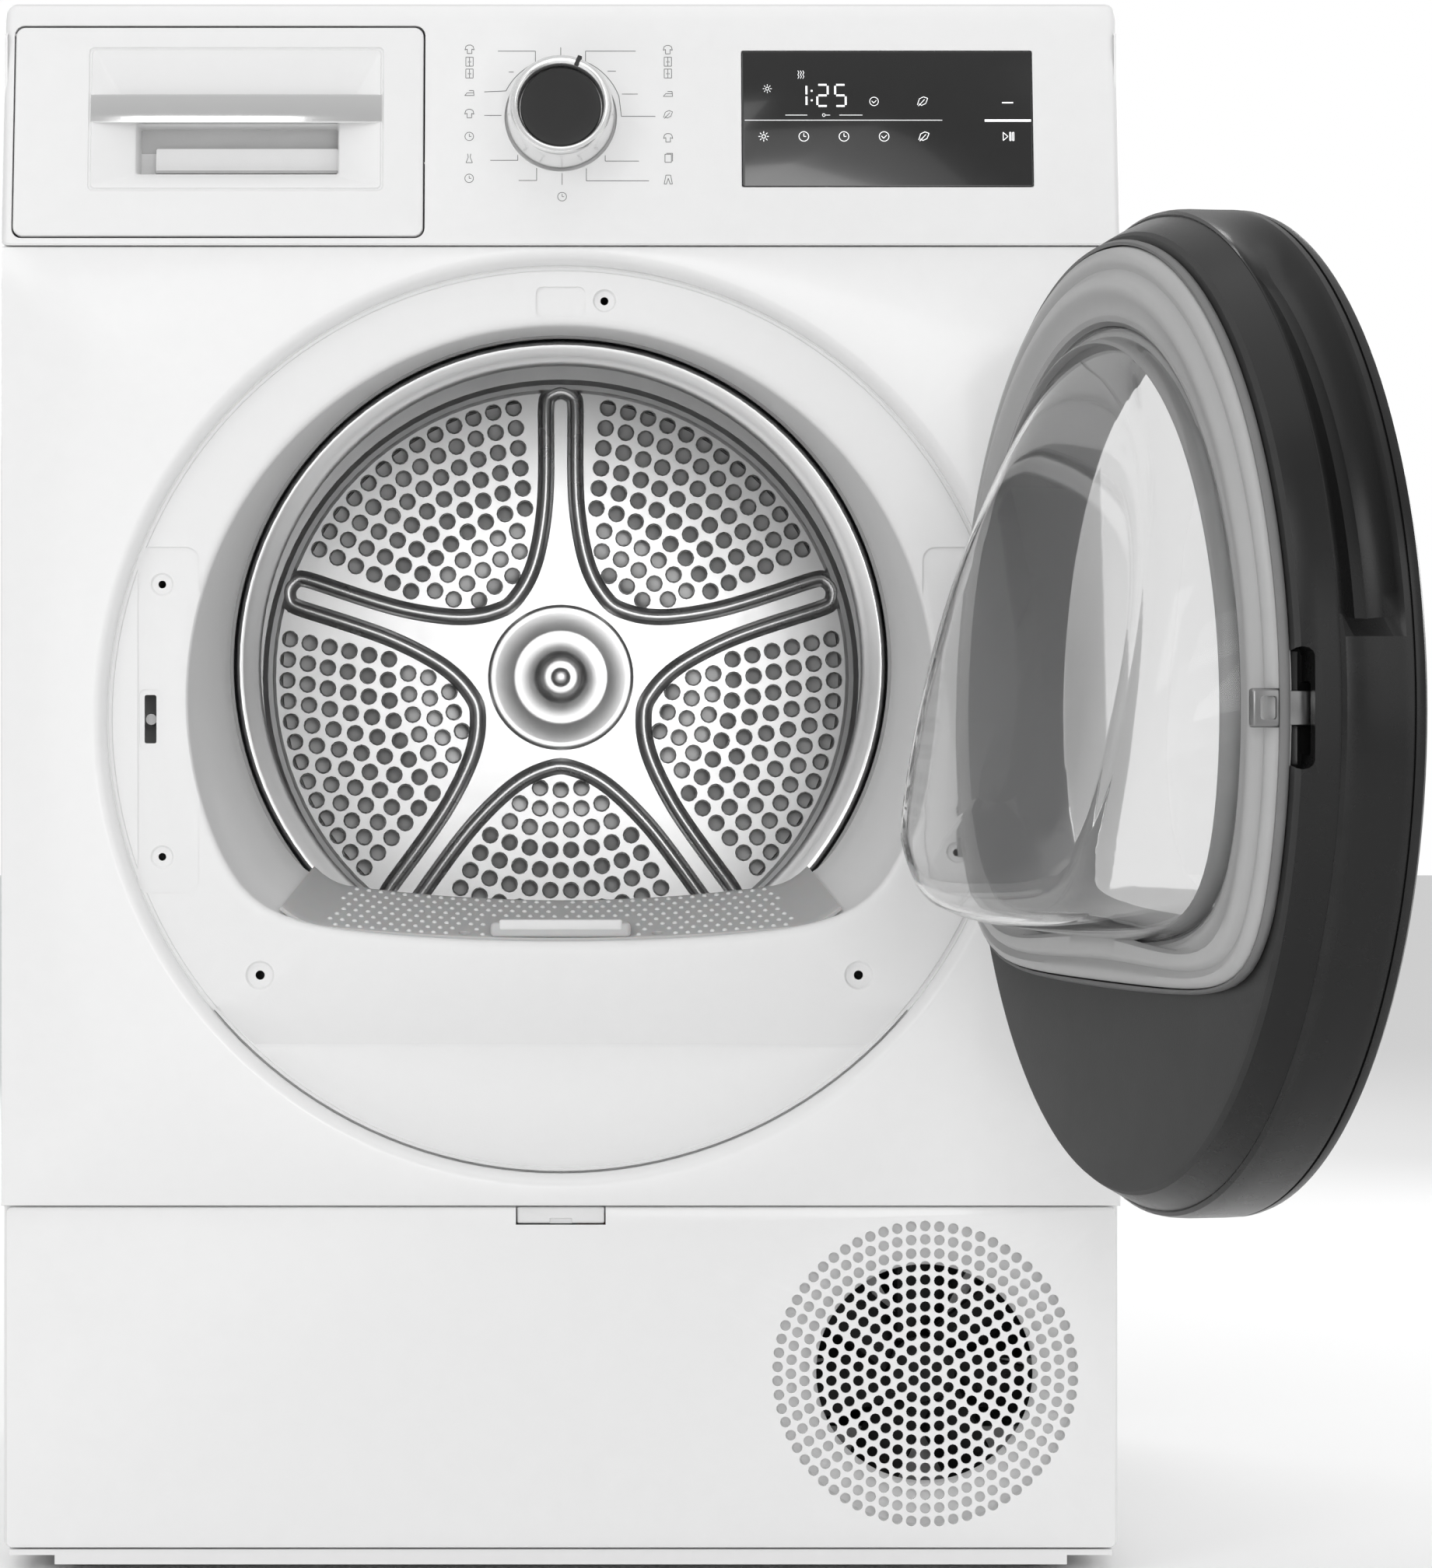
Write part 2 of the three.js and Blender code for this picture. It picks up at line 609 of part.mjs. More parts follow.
function addDrawer() {
  const plate = leaned(
    roundedRectangle({
      left: DRAWER.left,
      right: DRAWER.right,
      top: DRAWER.top - 3,
      bottom: DRAWER.bottom,
      corner: DRAWER.corner,
    }),
    0,
    WALL,
  );
  const pocketDeep = 22;
  const pocketOuter = rectangle(
    GRIP.left - WALL,
    GRIP.right + WALL,
    GRIP.bottom - WALL,
    GRIP.top + GRIP_BAR_HEIGHT,
  );
  const pocketInner = rectangle(GRIP.left, GRIP.right, GRIP.bottom, GRIP.top + GRIP_BAR_HEIGHT - WALL);
  const pocket = leaned(pocketOuter, 0, pocketDeep);
  const front = cut(join(plate, pocket), leaned(pocketInner, 1, pocketDeep - WALL));
  add(dryer, 'drawer_front', front, WHITE_PLASTIC());

  const bar = leaned(
    rectangle(
      GRIP.left + GAP,
      GRIP.right - GAP,
      GRIP.top,
      GRIP.top + GRIP_BAR_HEIGHT - WALL - GAP,
    ),
    0,
    WALL,
  );
  add(dryer, 'drawer_grip_bar', bar, CHROME());

  const tankFront = FASCIA_BACK - 4;
  const tankBack = tankFront + TANK_LENGTH;
  const tankTop = UNDER_TOP - 12;
  const tank = alongY(tankShape(0, tankTop), tankFront, tankBack);
  const room = alongY(tankShape(WALL, HEIGHT), tankFront + WALL, tankBack - WALL);
  add(dryer, 'tank_body', cut(tank, room), GREY_PLASTIC());

  const inset = DRAWER.right - 20;
  const lid = cut(
    block(DRAWER.left + 6, inset, tankFront, tankBack, tankTop + 0.3, tankTop + WALL),
    block(DRAWER.left + 30, inset - 30, tankBack - 120, tankBack - 30, 0, HEIGHT),
  );
  add(dryer, 'tank_lid', lid, WHITE_PLASTIC());
}

// The tank's section: flat at the left, following the drum at the right, drawn inset by a wall.
function tankShape(inset, top) {
  const over = DRUM_RADIUS + 16 + inset;
  const left = DRAWER.left + 4 + inset;
  const right = DRAWER.right - 14 - inset;
  const bottom = DRAWER.bottom + 8 + inset;
  const beside = Math.max(over ** 2 - (bottom - DRUM_Z) ** 2, 0);
  const first = -Math.sqrt(beside);
  if (first >= right) return rectangle(left, right, bottom, top);
  const steps = 8;
  const curve = Array.from({ length: steps + 1 }, (_, i) => {
    const x = first + ((right - first) * i) / steps;
    return [x, DRUM_Z + Math.sqrt(over ** 2 - x ** 2)];
  });
  return polygon([[left, bottom], ...curve, [right, top], [left, top]]);
}

// ---- fluff filter ----

function addFilter() {
  const half = FILTER.halfWidth;
  const front = FRONT + FILTER.front;
  const back = FRONT + FILTER.back;
  const around = FILTER.around;
  const lid = polygon([
    [front - around, OPENING_BOTTOM_Z - WALL + 1 + shelfRise(front)],
    [back + around, OPENING_BOTTOM_Z - WALL + 1 + shelfRise(back)],
    [back + around, OPENING_BOTTOM_Z + shelfRise(back)],
    [front - around, OPENING_BOTTOM_Z + shelfRise(front)],
  ]);
  const slot = half - 20;
  const pouch = cut(
    block(-half, half, front, back, FILTER.bottom, OPENING_BOTTOM_Z),
    block(-half + WALL, half - WALL, front + WALL, back - WALL, FILTER.bottom + WALL, HEIGHT),
    block(-slot, slot, front - 1, back + 1, FILTER.bottom + 14, OPENING_BOTTOM_Z - 30),
  );
  const filter = cut(
    join(pouch, alongX(lid, -half - around, half + around)),
    block(-slot, slot, front + 16, back - 8, OPENING_BOTTOM_Z - 20, HEIGHT),
  );
  const handle = block(-38, 38, front + 3, front + 12, OPENING_BOTTOM_Z - 2, OPENING_BOTTOM_Z + 14);
  add(dryer, 'filter_frame', join(filter, handle), GREY_PLASTIC());

  const mesh = cut(
    block(
      -slot + GAP,
      slot - GAP,
      front + WALL + GAP,
      back - WALL - GAP,
      FILTER.bottom + 14 + GAP,
      OPENING_BOTTOM_Z - 30 - GAP,
    ),
    block(-slot + 2, slot - 2, front + WALL + 2, back - WALL - 2, FILTER.bottom + 16, HEIGHT),
  );
  add(dryer, 'filter_mesh', mesh, GREY_PLASTIC());
}

// ---- drum and what carries and turns it ----

function addDrum() {
  const front = FRONT + DRUM_FRONT;
  const back = FRONT + DRUM_BACK;
  const lip = front - DRUM_LIP_DEPTH;
  const shell = turnedY(
    [
      [DRUM_LIP_RADIUS, lip],
      [DRUM_LIP_RADIUS + 6, lip],
      [DRUM_LIP_RADIUS + 8, front],
      [DRUM_RADIUS - 6, front],
      [DRUM_RADIUS, front + 6],
      [DRUM_RADIUS, back],
      [DRUM_RADIUS - 16, back],
      [DRUM_RADIUS - 16, back - SHEET],
      [DRUM_RADIUS - SHEET, back - SHEET],
      [DRUM_RADIUS - SHEET, front + 6 + SHEET],
      [DRUM_RADIUS - 7, front + SHEET],
      [DRUM_LIP_RADIUS, front + SHEET],
    ],
    0,
    DRUM_Z,
  );
  add(dryer, 'drum_shell', shell, STEEL());

  const wallY = back + GAP;
  const holes = [];
  for (let arm = 0; arm < STAR_ARMS; arm += 1) {
    for (const [radius, shift] of [[95, 0], [145, -14], [145, 14]]) {
      const angle = THREE.MathUtils.degToRad((360 / STAR_ARMS) * (arm + 0.5) + 90 + shift);
      const [x, z] = [radius * Math.cos(angle), DRUM_Z + radius * Math.sin(angle)];
      holes.push(discY(15, wallY - 1, wallY + 3, x, z, 6));
    }
  }
  const star = [];
  for (let arm = 0; arm < STAR_ARMS; arm += 1) {
    const rib = block(-12, 12, wallY - 3, wallY + 1, DRUM_Z + HUB_RADIUS + 4, DRUM_Z + STAR_REACH);
    star.push(aboutY(rib, (360 / STAR_ARMS) * arm, 0, DRUM_Z));
  }
  const rear = cut(
    join(discY(DRUM_RADIUS - 20, wallY, wallY + SHEET, 0, DRUM_Z), ...star),
    discY(SHAFT_RADIUS + 0.3, wallY - 9, wallY + 9, 0, DRUM_Z, SMALL_ROUND),
    ...holes,
  );
  add(dryer, 'drum_rear_wall', rear, STEEL());

  const shaft = turnedY(
    [
      [0, wallY - 11],
      [10, wallY - 10],
      [HUB_RADIUS - 14, wallY - 6],
      [HUB_RADIUS, wallY - 1],
      [HUB_RADIUS, wallY - 0.3],
      [SHAFT_RADIUS, wallY - 0.3],
      [SHAFT_RADIUS, BEARING_BACK],
      [0, BEARING_BACK],
    ],
    0,
    DRUM_Z,
    20,
  );
  add(dryer, 'drum_shaft', shaft, STEEL());

  const seat = DRUM_RADIUS - SHEET - 1.5;
  const half = LIFTER.width / 2;
  const middle = FRONT + (DRUM_FRONT + DRUM_BACK) / 2;
  const drop = seat - Math.sqrt(seat ** 2 - half ** 2);
  const fin = polygon([
    [-half, -seat + drop],
    [0, -seat],
    [half, -seat + drop],
    [9, -seat + LIFTER.height],
    [-9, -seat + LIFTER.height],
  ]);
  const raw = alongY(fin, middle - LIFTER.length / 2, middle + LIFTER.length / 2);
  for (let i = 0; i < LIFTER.count; i += 1) {
    const turn = 36 + (360 / LIFTER.count) * i;
    const lifter = raw.rotate(0, turn, 0).translate(0, 0, DRUM_Z);
    add(dryer, `drum_lifter_${i + 1}`, lifter, GREY_PLASTIC());
  }
}

function addDrive() {
  const bearing = ringY(30, SHAFT_RADIUS + RUNNING, BEARING_FRONT, BEARING_BACK, 0, DRUM_Z, 32);
  add(dryer, 'rear_bearing', bearing, STEEL());

  const front = FRONT + DUCT.front;
  const back = FRONT + DUCT.back;
  const neck = { half: 80, low: MOTOR.z + AIR_HOUSING + 2 };
  const pan = cut(
    join(
      discY(DUCT.radius, front, back, 0, DRUM_Z),
      block(-neck.half, neck.half, back - 34, back, neck.low, DRUM_Z),
    ),
    discY(DUCT.radius - 2, front - 1, back - 2, 0, DRUM_Z),
    block(-neck.half + 2, neck.half - 2, back - 32, back - 2, neck.low - 1, DRUM_Z),
  );
  const post = ringY(38, 30.3, BEARING_FRONT + 4, back - 1, 0, DRUM_Z, 32);
  add(dryer, 'rear_air_duct', join(pan, post), GREY_PLASTIC());

  add(dryer, 'drive_belt', belt(), RUBBER());

  const motor = join(
    discY(MOTOR.radius, MOTOR.front, MOTOR.back, MOTOR.x, MOTOR.z, 24),
    block(MOTOR.x - 34, MOTOR.x + 34, MOTOR.front + 20, MOTOR.back - 20, PAN_FLOOR + 0.3, MOTOR.z),
  );
  const motorBore = discY(MOTOR_SHAFT + RUNNING, 0, BACK, MOTOR.x, MOTOR.z, SMALL_ROUND);
  add(dryer, 'drive_motor', cut(motor, motorBore), ALUMINIUM());

  const pulleyBack = BELT.y + BELT.width + 4;
  const pulley = join(
    discY(PULLEY_RADIUS, BELT.y - 3, pulleyBack, MOTOR.x, MOTOR.z, SMALL_ROUND),
    discY(MOTOR_SHAFT, pulleyBack - 1, MOTOR.back + 17.5, MOTOR.x, MOTOR.z, SMALL_ROUND),
  );
  add(dryer, 'motor_pulley', pulley, STEEL());

  const [ix, iz] = idlerPlace();
  const idler = discY(IDLER.radius, BELT.y - 2, BELT.y + BELT.width + 2, ix, iz, SMALL_ROUND);
  add(dryer, 'idler_pulley', cut(idler, discY(4 + RUNNING, 0, BACK, ix, iz, 12)), BLACK_PLASTIC());

  rollerPlaces().forEach(([x, z], i) => {
    const back = rollerFront() + ROLLER.width;
    const roller = ringY(ROLLER.radius, ROLLER_PIN + RUNNING, rollerFront(), back, x, z, 24);
    add(dryer, `support_roller_${i ? 'right' : 'left'}`, roller, RUBBER());
  });

  const fanFront = MOTOR.back + 14;
  const fanDeep = 40;
  const housing = cut(
    discY(AIR_HOUSING, fanFront, fanFront + fanDeep, MOTOR.x, MOTOR.z, 24),
    discY(AIR_HOUSING - 2, fanFront + 2, fanFront + fanDeep - 2, MOTOR.x, MOTOR.z, 24),
    discY(30, fanFront - 1, fanFront + 3, MOTOR.x, MOTOR.z),
    block(MOTOR.x - AIR_HOUSING, MOTOR.x - 50, fanFront + 2, fanFront + fanDeep - 2, MOTOR.z, HEIGHT),
  );
  add(dryer, 'air_fan_housing', housing, DARK_PLASTIC());
}

function beltLoop(extra) {
  const big = DRUM_RADIUS + 2 + extra;
  const small = PULLEY_RADIUS + RUNNING + extra;
  const [dx, dz] = [MOTOR.x, MOTOR.z - DRUM_Z];
  const away = Math.atan2(dz, dx);
  const open = Math.acos((big - small) / Math.hypot(dx, dz));
  const arc = (cx, cz, radius, from, to, steps) =>
    Array.from({ length: steps + 1 }, (_, i) => {
      const angle = from + ((to - from) * i) / steps;
      return [cx + radius * Math.cos(angle), cz + radius * Math.sin(angle)];
    });
  return [
    ...arc(0, DRUM_Z, big, away + open, away - open + 2 * Math.PI, 40),
    ...arc(MOTOR.x, MOTOR.z, small, away - open, away + open, 8),
  ];
}

function belt() {
  const y1 = BELT.y + BELT.width;
  const outer = alongY(polygon(beltLoop(BELT.thick)), BELT.y, y1);
  return cut(outer, alongY(polygon(beltLoop(0)), BELT.y - 1, y1 + 1));
}

// The idler bears on the belt's right-hand span from outside.
function idlerPlace() {
  const loop = beltLoop(BELT.thick);
  const [x0, z0] = loop[loop.length - 1];
  const [x1, z1] = loop[0];
  const length = Math.hypot(x1 - x0, z1 - z0);
  const [nx, nz] = [(z1 - z0) / length, -(x1 - x0) / length];
  const off = IDLER.radius + GAP;
  return [
    x0 + (x1 - x0) * IDLER.along + nx * off,
    z0 + (z1 - z0) * IDLER.along + nz * off,
  ];
}

// ---- base: pan, heat pump, pump, feet ----

function addBase() {
  const half = INSIDE - 2;
  const start = FRONT + 66;
  const end = BACK - 4 * SHEET - 4;
  const wallTop = 70;
  const tray = cut(
    block(-half, half, start, end, BASE_Z, wallTop),
    block(-half + WALL, half - WALL, start + WALL, end - WALL, PAN_FLOOR, HEIGHT),
  );
  const skirt = join(
    block(-271, 271, FRONT + 7, FRONT + 14, BASE_Z - 5, BASE_Z + 1),
    block(-half, half, FRONT + 7, start + 1, BASE_Z, PAN_FLOOR),
  );
  const pad = block(-60, 60, -60, 60, BASE_Z - 5, BASE_Z + 1);
  const footBoss = footPlaces().map(([x, y]) => turnedZ(
    [[0, BASE_Z - 1], [12, BASE_Z - 1], [12, FOOT.top + 4], [0, FOOT.top + 4]], x, y));
  const footBore = footPlaces().map(([x, y]) => turnedZ(
    [[0, 0], [FOOT.stem + RUNNING, 0], [FOOT.stem + RUNNING, FOOT.top + 1], [0, FOOT.top + 1]], x, y));
  const partition = block(-50, -50 + WALL, start + 1, MOTOR.back - 20, BASE_Z + 1, wallTop);
  const [ix, iz] = idlerPlace();
  const idlerPost = join(
    block(ix - 8, ix + 8, BELT.y + BELT.width + 4, BELT.y + BELT.width + 8, BASE_Z + 1, iz + 8),
    discY(4, BELT.y - 2, BELT.y + BELT.width + 5, ix, iz, 12),
  );
  const pan = cut(join(tray, skirt, pad, partition, idlerPost, ...footBoss), ...footBore);
  add(dryer, 'base_pan', pan, DARK_PLASTIC());

  footPlaces().forEach(([x, y], i) => {
    const foot = turnedZ(
      [
        [0, 0],
        [FOOT.radius - 2, 0],
        [FOOT.radius, 2],
        [FOOT.radius, FOOT.pad],
        [FOOT.stem + 4, FOOT.pad + 1],
        [FOOT.stem, FOOT.pad + 1],
        [FOOT.stem, FOOT.top],
        [0, FOOT.top],
      ],
      x,
      y,
    );
    add(dryer, FOOT_NAMES[i], foot, BLACK_PLASTIC());
  });

  const coil = (name, y0, y1, material) => {
    const [x0, x1, z0, z1, fins] = [-275, -60, PAN_FLOOR + 0.3, 185, 7];
    const slabs = [z0, (z0 + z1) / 2 - 5, z1 - 10].map((z) =>
      block(x0, x1, y0 + 12, y1 - 12, z, z + 10));
    const step = (x1 - x0 - 3) / (fins - 1);
    const leaves = Array.from({ length: fins }, (_, i) =>
      block(x0 + step * i, x0 + step * i + 3, y0, y1, z0, z1));
    add(dryer, name, join(...slabs, ...leaves), material);
  };
  coil('evaporator', -225, -125, ALUMINIUM());
  coil('condenser', -105, 15, ALUMINIUM());

  const compressor = turnedZ(
    [
      [0, PAN_FLOOR + 0.3],
      [COMPRESSOR.radius + 8, PAN_FLOOR + 0.3],
      [COMPRESSOR.radius + 8, PAN_FLOOR + 6],
      [COMPRESSOR.radius, PAN_FLOOR + 8],
      [COMPRESSOR.radius, COMPRESSOR.top - 25],
      [COMPRESSOR.radius * 0.7, COMPRESSOR.top - 6],
      [0, COMPRESSOR.top],
    ],
    COMPRESSOR.x,
    COMPRESSOR.y,
    28,
  );
  add(dryer, 'compressor', compressor, BLACK_PLASTIC());

  const route = new THREE.CatmullRomCurve3([
    new THREE.Vector3(COMPRESSOR.x - 20, COMPRESSOR.y + 10, COMPRESSOR.top + 1),
    new THREE.Vector3(COMPRESSOR.x - 30, COMPRESSOR.y + 20, COMPRESSOR.top + 14),
    new THREE.Vector3(60, -60, COMPRESSOR.top - 10),
    new THREE.Vector3(-20, -50, COMPRESSOR.top - 40),
    new THREE.Vector3(-59, -45, COMPRESSOR.top - 45),
  ]);
  const pipe = new THREE.ExtrudeGeometry(circleShapeAtOrigin(4), {
    steps: 12,
    bevelEnabled: false,
    extrudePath: route,
  });
  add(dryer, 'refrigerant_pipe', solid(pipe), COPPER());

  const pump = join(
    turnedZ([[0, PAN_FLOOR + 0.3], [28, PAN_FLOOR + 0.3], [28, 60], [0, 60]], -200, 180),
    turnedZ([[0, 59], [18, 59], [18, 110], [0, 110]], -200, 180),
    block(-200, -160, 174, 186, 24, 36),
  );
  add(dryer, 'condensate_pump', pump, BLACK_PLASTIC());
}

function footPlaces() {
  return [[-FOOT.x, -FOOT.y], [FOOT.x, -FOOT.y], [-FOOT.x, FOOT.y], [FOOT.x, FOOT.y]];
}

function circleShapeAtOrigin(radius) {
  return polygon(circlePoints(radius, 0, 0, 8));
}

// ---- cooling fan, service flap ----

function addFlap() {
  const low = BASE_Z + 4;
  const high = FLAP_TOP_Z - GAP;
  const face = FRONT + FLAP_RECESS;
  const half = RIGHT - 2;
  const holes = Array.from({ length: VENT.slots }, (_, i) => {
    const slot = block(-5, 5, face - 1, face + 10, VENT.z + 20, VENT.z + VENT.radius - 8);
    return aboutY(slot.translate(VENT.x, 0, 0), (360 / VENT.slots) * i, VENT.x, VENT.z);
  });
  const latchHalf = LATCH.width / 2 + 1;
  const panel = cut(
    block(-half, half, face, face + 14, low, high),
    block(-half + WALL, half - WALL, face + WALL, face + 20, low + WALL, high - WALL),
    block(-latchHalf, latchHalf, face - 1, face + 20, high - LATCH.height - LATCH.travel - 2, high + 1),
    ...holes,
  );
  add(dryer, 'service_flap', panel, WHITE_PLASTIC());

  const latch = join(
    block(-LATCH.width / 2, LATCH.width / 2, face, face + 4, high - LATCH.height, high),
    block(-LATCH.width / 4, LATCH.width / 4, face + 3, face + 12, high - LATCH.height, high - 3),
  );
  add(dryer, 'flap_latch', latch, WHITE_PLASTIC());

  const fanY = face + 22;
  const frame = join(
    ringY(COOLING_FAN_RADIUS + 8, COOLING_FAN_RADIUS + 4, fanY, fanY + 26, VENT.x, VENT.z),
    ...[0, 60, 120].map((turn) => aboutY(
      block(
        VENT.x - COOLING_FAN_RADIUS - 5,
        VENT.x + COOLING_FAN_RADIUS + 5,
        fanY + 22,
        fanY + 26,
        VENT.z - 3,
        VENT.z + 3,
      ),
      turn,
      VENT.x,
      VENT.z,
    )),
    discY(20, fanY + 21, fanY + 36, VENT.x, VENT.z, SMALL_ROUND),
    block(VENT.x - 30, VENT.x + 30, fanY, fanY + 26, PAN_FLOOR + 0.3, VENT.z - COOLING_FAN_RADIUS - 4),
  );
  add(dryer, 'cooling_fan_frame', frame, BLACK_PLASTIC());
  const fan = rotor(COOLING_FAN_RADIUS, 18, fanY + 2, fanY + 20, VENT.x, VENT.z, 7, 24);
  add(dryer, 'cooling_fan', fan, DARK_PLASTIC());

  const fanFront = MOTOR.back + 18;
  const wheel = rotor(AIR_FAN_RADIUS, 16, fanFront, fanFront + 30, MOTOR.x, MOTOR.z, 9, 0);
  add(dryer, 'air_fan', wheel, BLACK_PLASTIC());
}

// A hub with straight blades, each pitched about its own radius.
function rotor(radius, hub, y0, y1, x, z, count, pitch) {
  const middle = (y0 + y1) / 2;
  const long = (y1 - y0) * 0.8;
  const across = pitch ? 30 : 3;
  const deep = pitch ? 3 : long;
  const blade = block(-across / 2, across / 2, -deep / 2, deep / 2, hub - 3, radius);
  const blades = Array.from({ length: count }, (_, i) =>
    blade.rotate(0, 0, pitch).rotate(0, (360 / count) * i, 0).translate(x, middle, z));
  return join(discY(hub, y0, y1, x, z, SMALL_ROUND), ...blades);
}

// ---- door latch, hinge and door ----

function addLatchAndHinge() {
  const housing = cut(
    block(LATCH_X - 12, LATCH_X + 12, FRAME_BACK + GAP, FRAME_BACK + 32, RING_Z - 24, RING_Z + 24),
    block(LATCH_X - 9, LATCH_X + 9, FRAME_BACK - 1, FRAME_BACK + 28, RING_Z - 17, RING_Z + 17),
    discY(PLUNGER + RUNNING, FRAME_BACK, 0, LATCH_X, RING_Z, 12),
  );
  add(dryer, 'latch_housing', housing, GREY_PLASTIC());
  const tip = FRONT - HINGE.ahead + HOOK.reach + GAP;
  const plunger = discY(PLUNGER, tip, FRAME_BACK + 38, LATCH_X, RING_Z, 12);
  add(dryer, 'latch_plunger', plunger, GREY_PLASTIC());

  const pinY = FRONT - HINGE.ahead;
  const outer = HINGE.x - HINGE.plate;
  const inner = outer - HINGE.plateWidth;
  const tall = HINGE.spread + 18;
  const plate = block(inner, outer, FRAME_FACE - 3.3, FRAME_FACE - 0.3, RING_Z - tall, RING_Z + tall);
  const arms = [-1, 1].map((side) => {
    const z = RING_Z + side * HINGE.spread;
    const arm = polygon([
      [inner, FRAME_FACE - 3],
      [outer - 2, FRAME_FACE - 3],
      [HINGE.x + 6, pinY],
      [HINGE.x + 3, pinY - 6],
      [HINGE.x - 5, pinY - 4],
    ]);
    const knuckle = turnedZ([[0, z - 7], [9, z - 7], [9, z + 7], [0, z + 7]], HINGE.x, pinY);
    return cut(
      join(alongZ(arm, z - 7, z + 7), knuckle),
      turnedZ([[0, 0], [HINGE.pin + RUNNING, 0], [HINGE.pin + RUNNING, HEIGHT], [0, HEIGHT]], HINGE.x, pinY),
    );
  });
  add(dryer, 'hinge_bracket', join(plate, ...arms), STEEL());
}

// The door is drawn shut in its own frame: hinge pin at the origin, middle at the height 0,
// reaching to -X, its outer face towards -Y.
function addDoor() {
  const door = new THREE.Group();
  door.position.set(HINGE.x, FRONT - HINGE.ahead, RING_Z);
  door.rotation.z = OPEN;
  dryer.add(door);
  const middle = -HINGE.x;
  const face = -DOOR_FACE_AHEAD;
  const rimBack = face + DOOR_RIM_DEEP;

  const windowHole = (grow, y0, y1) => alongY(
    polygon(dPoints(WINDOW.radius + grow, WINDOW.bottom - grow, WINDOW.corner, 0)), y0, y1)
    .translate(middle, 0, 0);
  const body = turnedY(
    [
      [0, face],
      [DOOR_RADIUS - 8, face],
      [DOOR_RADIUS, face + 6],
      [DOOR_RADIUS, rimBack],
      [DOOR_RADIUS - 12, rimBack + 3],
      [DOOR_RADIUS - 16, DOOR_BACK],
      [0, DOOR_BACK],
    ],
    middle,
    0,
  );
  const hingeRoom = block(-32, 20, -12, 60, -HINGE.spread - 24, HINGE.spread + 24);
  const pane = { thick: 4, over: 8 };
  const frame = cut(
    body,
    windowHole(0, face - 1, DOOR_BACK + 1),
    windowHole(pane.over, face + 4, face + 4 + pane.thick + 2 * GAP),
    hingeRoom,
  );
  add(door, 'door_frame', frame, BLACK_PLASTIC());
  add(door, 'door_pane', windowHole(pane.over - GAP, face + 4 + GAP, face + 4 + GAP + pane.thick), CLEAR());

  const flangeFront = DOOR_BACK + 0.3;
  const flangeBack = flangeFront + FLANGE.thick;
  const dAt = (radius, bottom, corner) => polygon(dPoints(radius, bottom, corner, 0));
  const flange = cut(
    alongY(dAt(FLANGE.radius, FLANGE.bottom, FLANGE.corner), flangeFront, flangeBack),
    alongY(dAt(WINDOW.radius + 10, WINDOW.bottom - 10, WINDOW.corner), flangeFront - 1, flangeBack + 1),
  ).translate(middle, 0, 0);
  const hookX = -HOOK_FROM_PIN;
  const hookRoom = block(hookX - 14, hookX + 14, 0, 99, -14, 14);
  add(door, 'door_inner_flange', cut(flange, hookRoom, hingeRoom), GREY_PLASTIC());

  const sealInner = dAt(WINDOW.radius + 26, WINDOW.bottom - 14, FLANGE.corner - 8);
  const sealOuter = dAt(FLANGE.radius - 4, FLANGE.bottom + 4, FLANGE.corner - 4);
  const seal = cut(
    alongY(sealOuter, flangeBack + 0.3, FRAME_FACE - FRONT + HINGE.ahead - 0.3),
    alongY(sealInner, 0, 99),
  ).translate(middle, 0, 0);
  add(door, 'door_seal', cut(seal, hookRoom, hingeRoom), RUBBER());

  add(door, 'door_bowl', bowl(flangeFront).translate(middle, 0, 0), CLEAR());

  const hook = join(
    block(hookX - 4, hookX + 4, DOOR_BACK + 0.3, HOOK.reach, -HOOK.width / 2, HOOK.width / 2),
    block(hookX - 9, hookX + 9, DOOR_BACK + 0.3, DOOR_BACK + 4, -HOOK.width / 2 - 3, HOOK.width / 2 + 3),
  );
  const hookEye = block(hookX - 20, hookX + 20, HOOK.reach - 10, HOOK.reach - 4, -5, 5);
  add(door, 'door_hook', cut(hook, hookEye), STEEL());

  const pinLong = HINGE.spread + 9;
  const pin = turnedZ([[0, -pinLong], [HINGE.pin, -pinLong], [HINGE.pin, pinLong], [0, pinLong]], 0, 0);
  const barrelHalf = HINGE.spread - 8;
  const arm = join(
    pin,
    turnedZ([[0, -barrelHalf], [9, -barrelHalf], [9, barrelHalf], [0, barrelHalf]], 0, 0),
    block(-30, 0, -7, -2, -barrelHalf, barrelHalf),
  );
  add(door, 'door_hinge_arm', arm, STEEL());
}

// The clear bowl: deep at the bottom, shallow at the top, open towards the room.
function bowl(start) {
  const loop = (inset, scale, depth) =>
    dPoints(WINDOW.radius - inset, WINDOW.bottom + inset, WINDOW.corner - inset, 0).map(([x, z]) => {
      const low = THREE.MathUtils.clamp((WINDOW.radius * 0.6 - z) / WINDOW.radius, 0, 1);
      const y = depth(low);
      return [x * scale, y, (z + BOWL.sink) * scale - BOWL.sink];
    });
  const tip = (wall) => (low) => BOWL.shallow + (BOWL.deep - BOWL.shallow) * low - wall;
  const outer = loftCapped([
    loop(0, 1, () => start),
    loop(0, BOWL.shrink, tip(0)),
  ]);
  const inner = loftCapped([
    loop(BOWL.wall, 1, () => start - 1),
    loop(BOWL.wall, BOWL.shrink, tip(BOWL.wall)),
  ]);
  return cut(outer, inner);
}

addCabinet();
addFront();
addControls();
addDrawer();
addFilter();
addDrum();
addDrive();
addBase();
addFlap();
addLatchAndHinge();
addDoor();

export default dryer;
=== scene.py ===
import json
import math

import bmesh
import bpy
from mathutils import Matrix, Vector


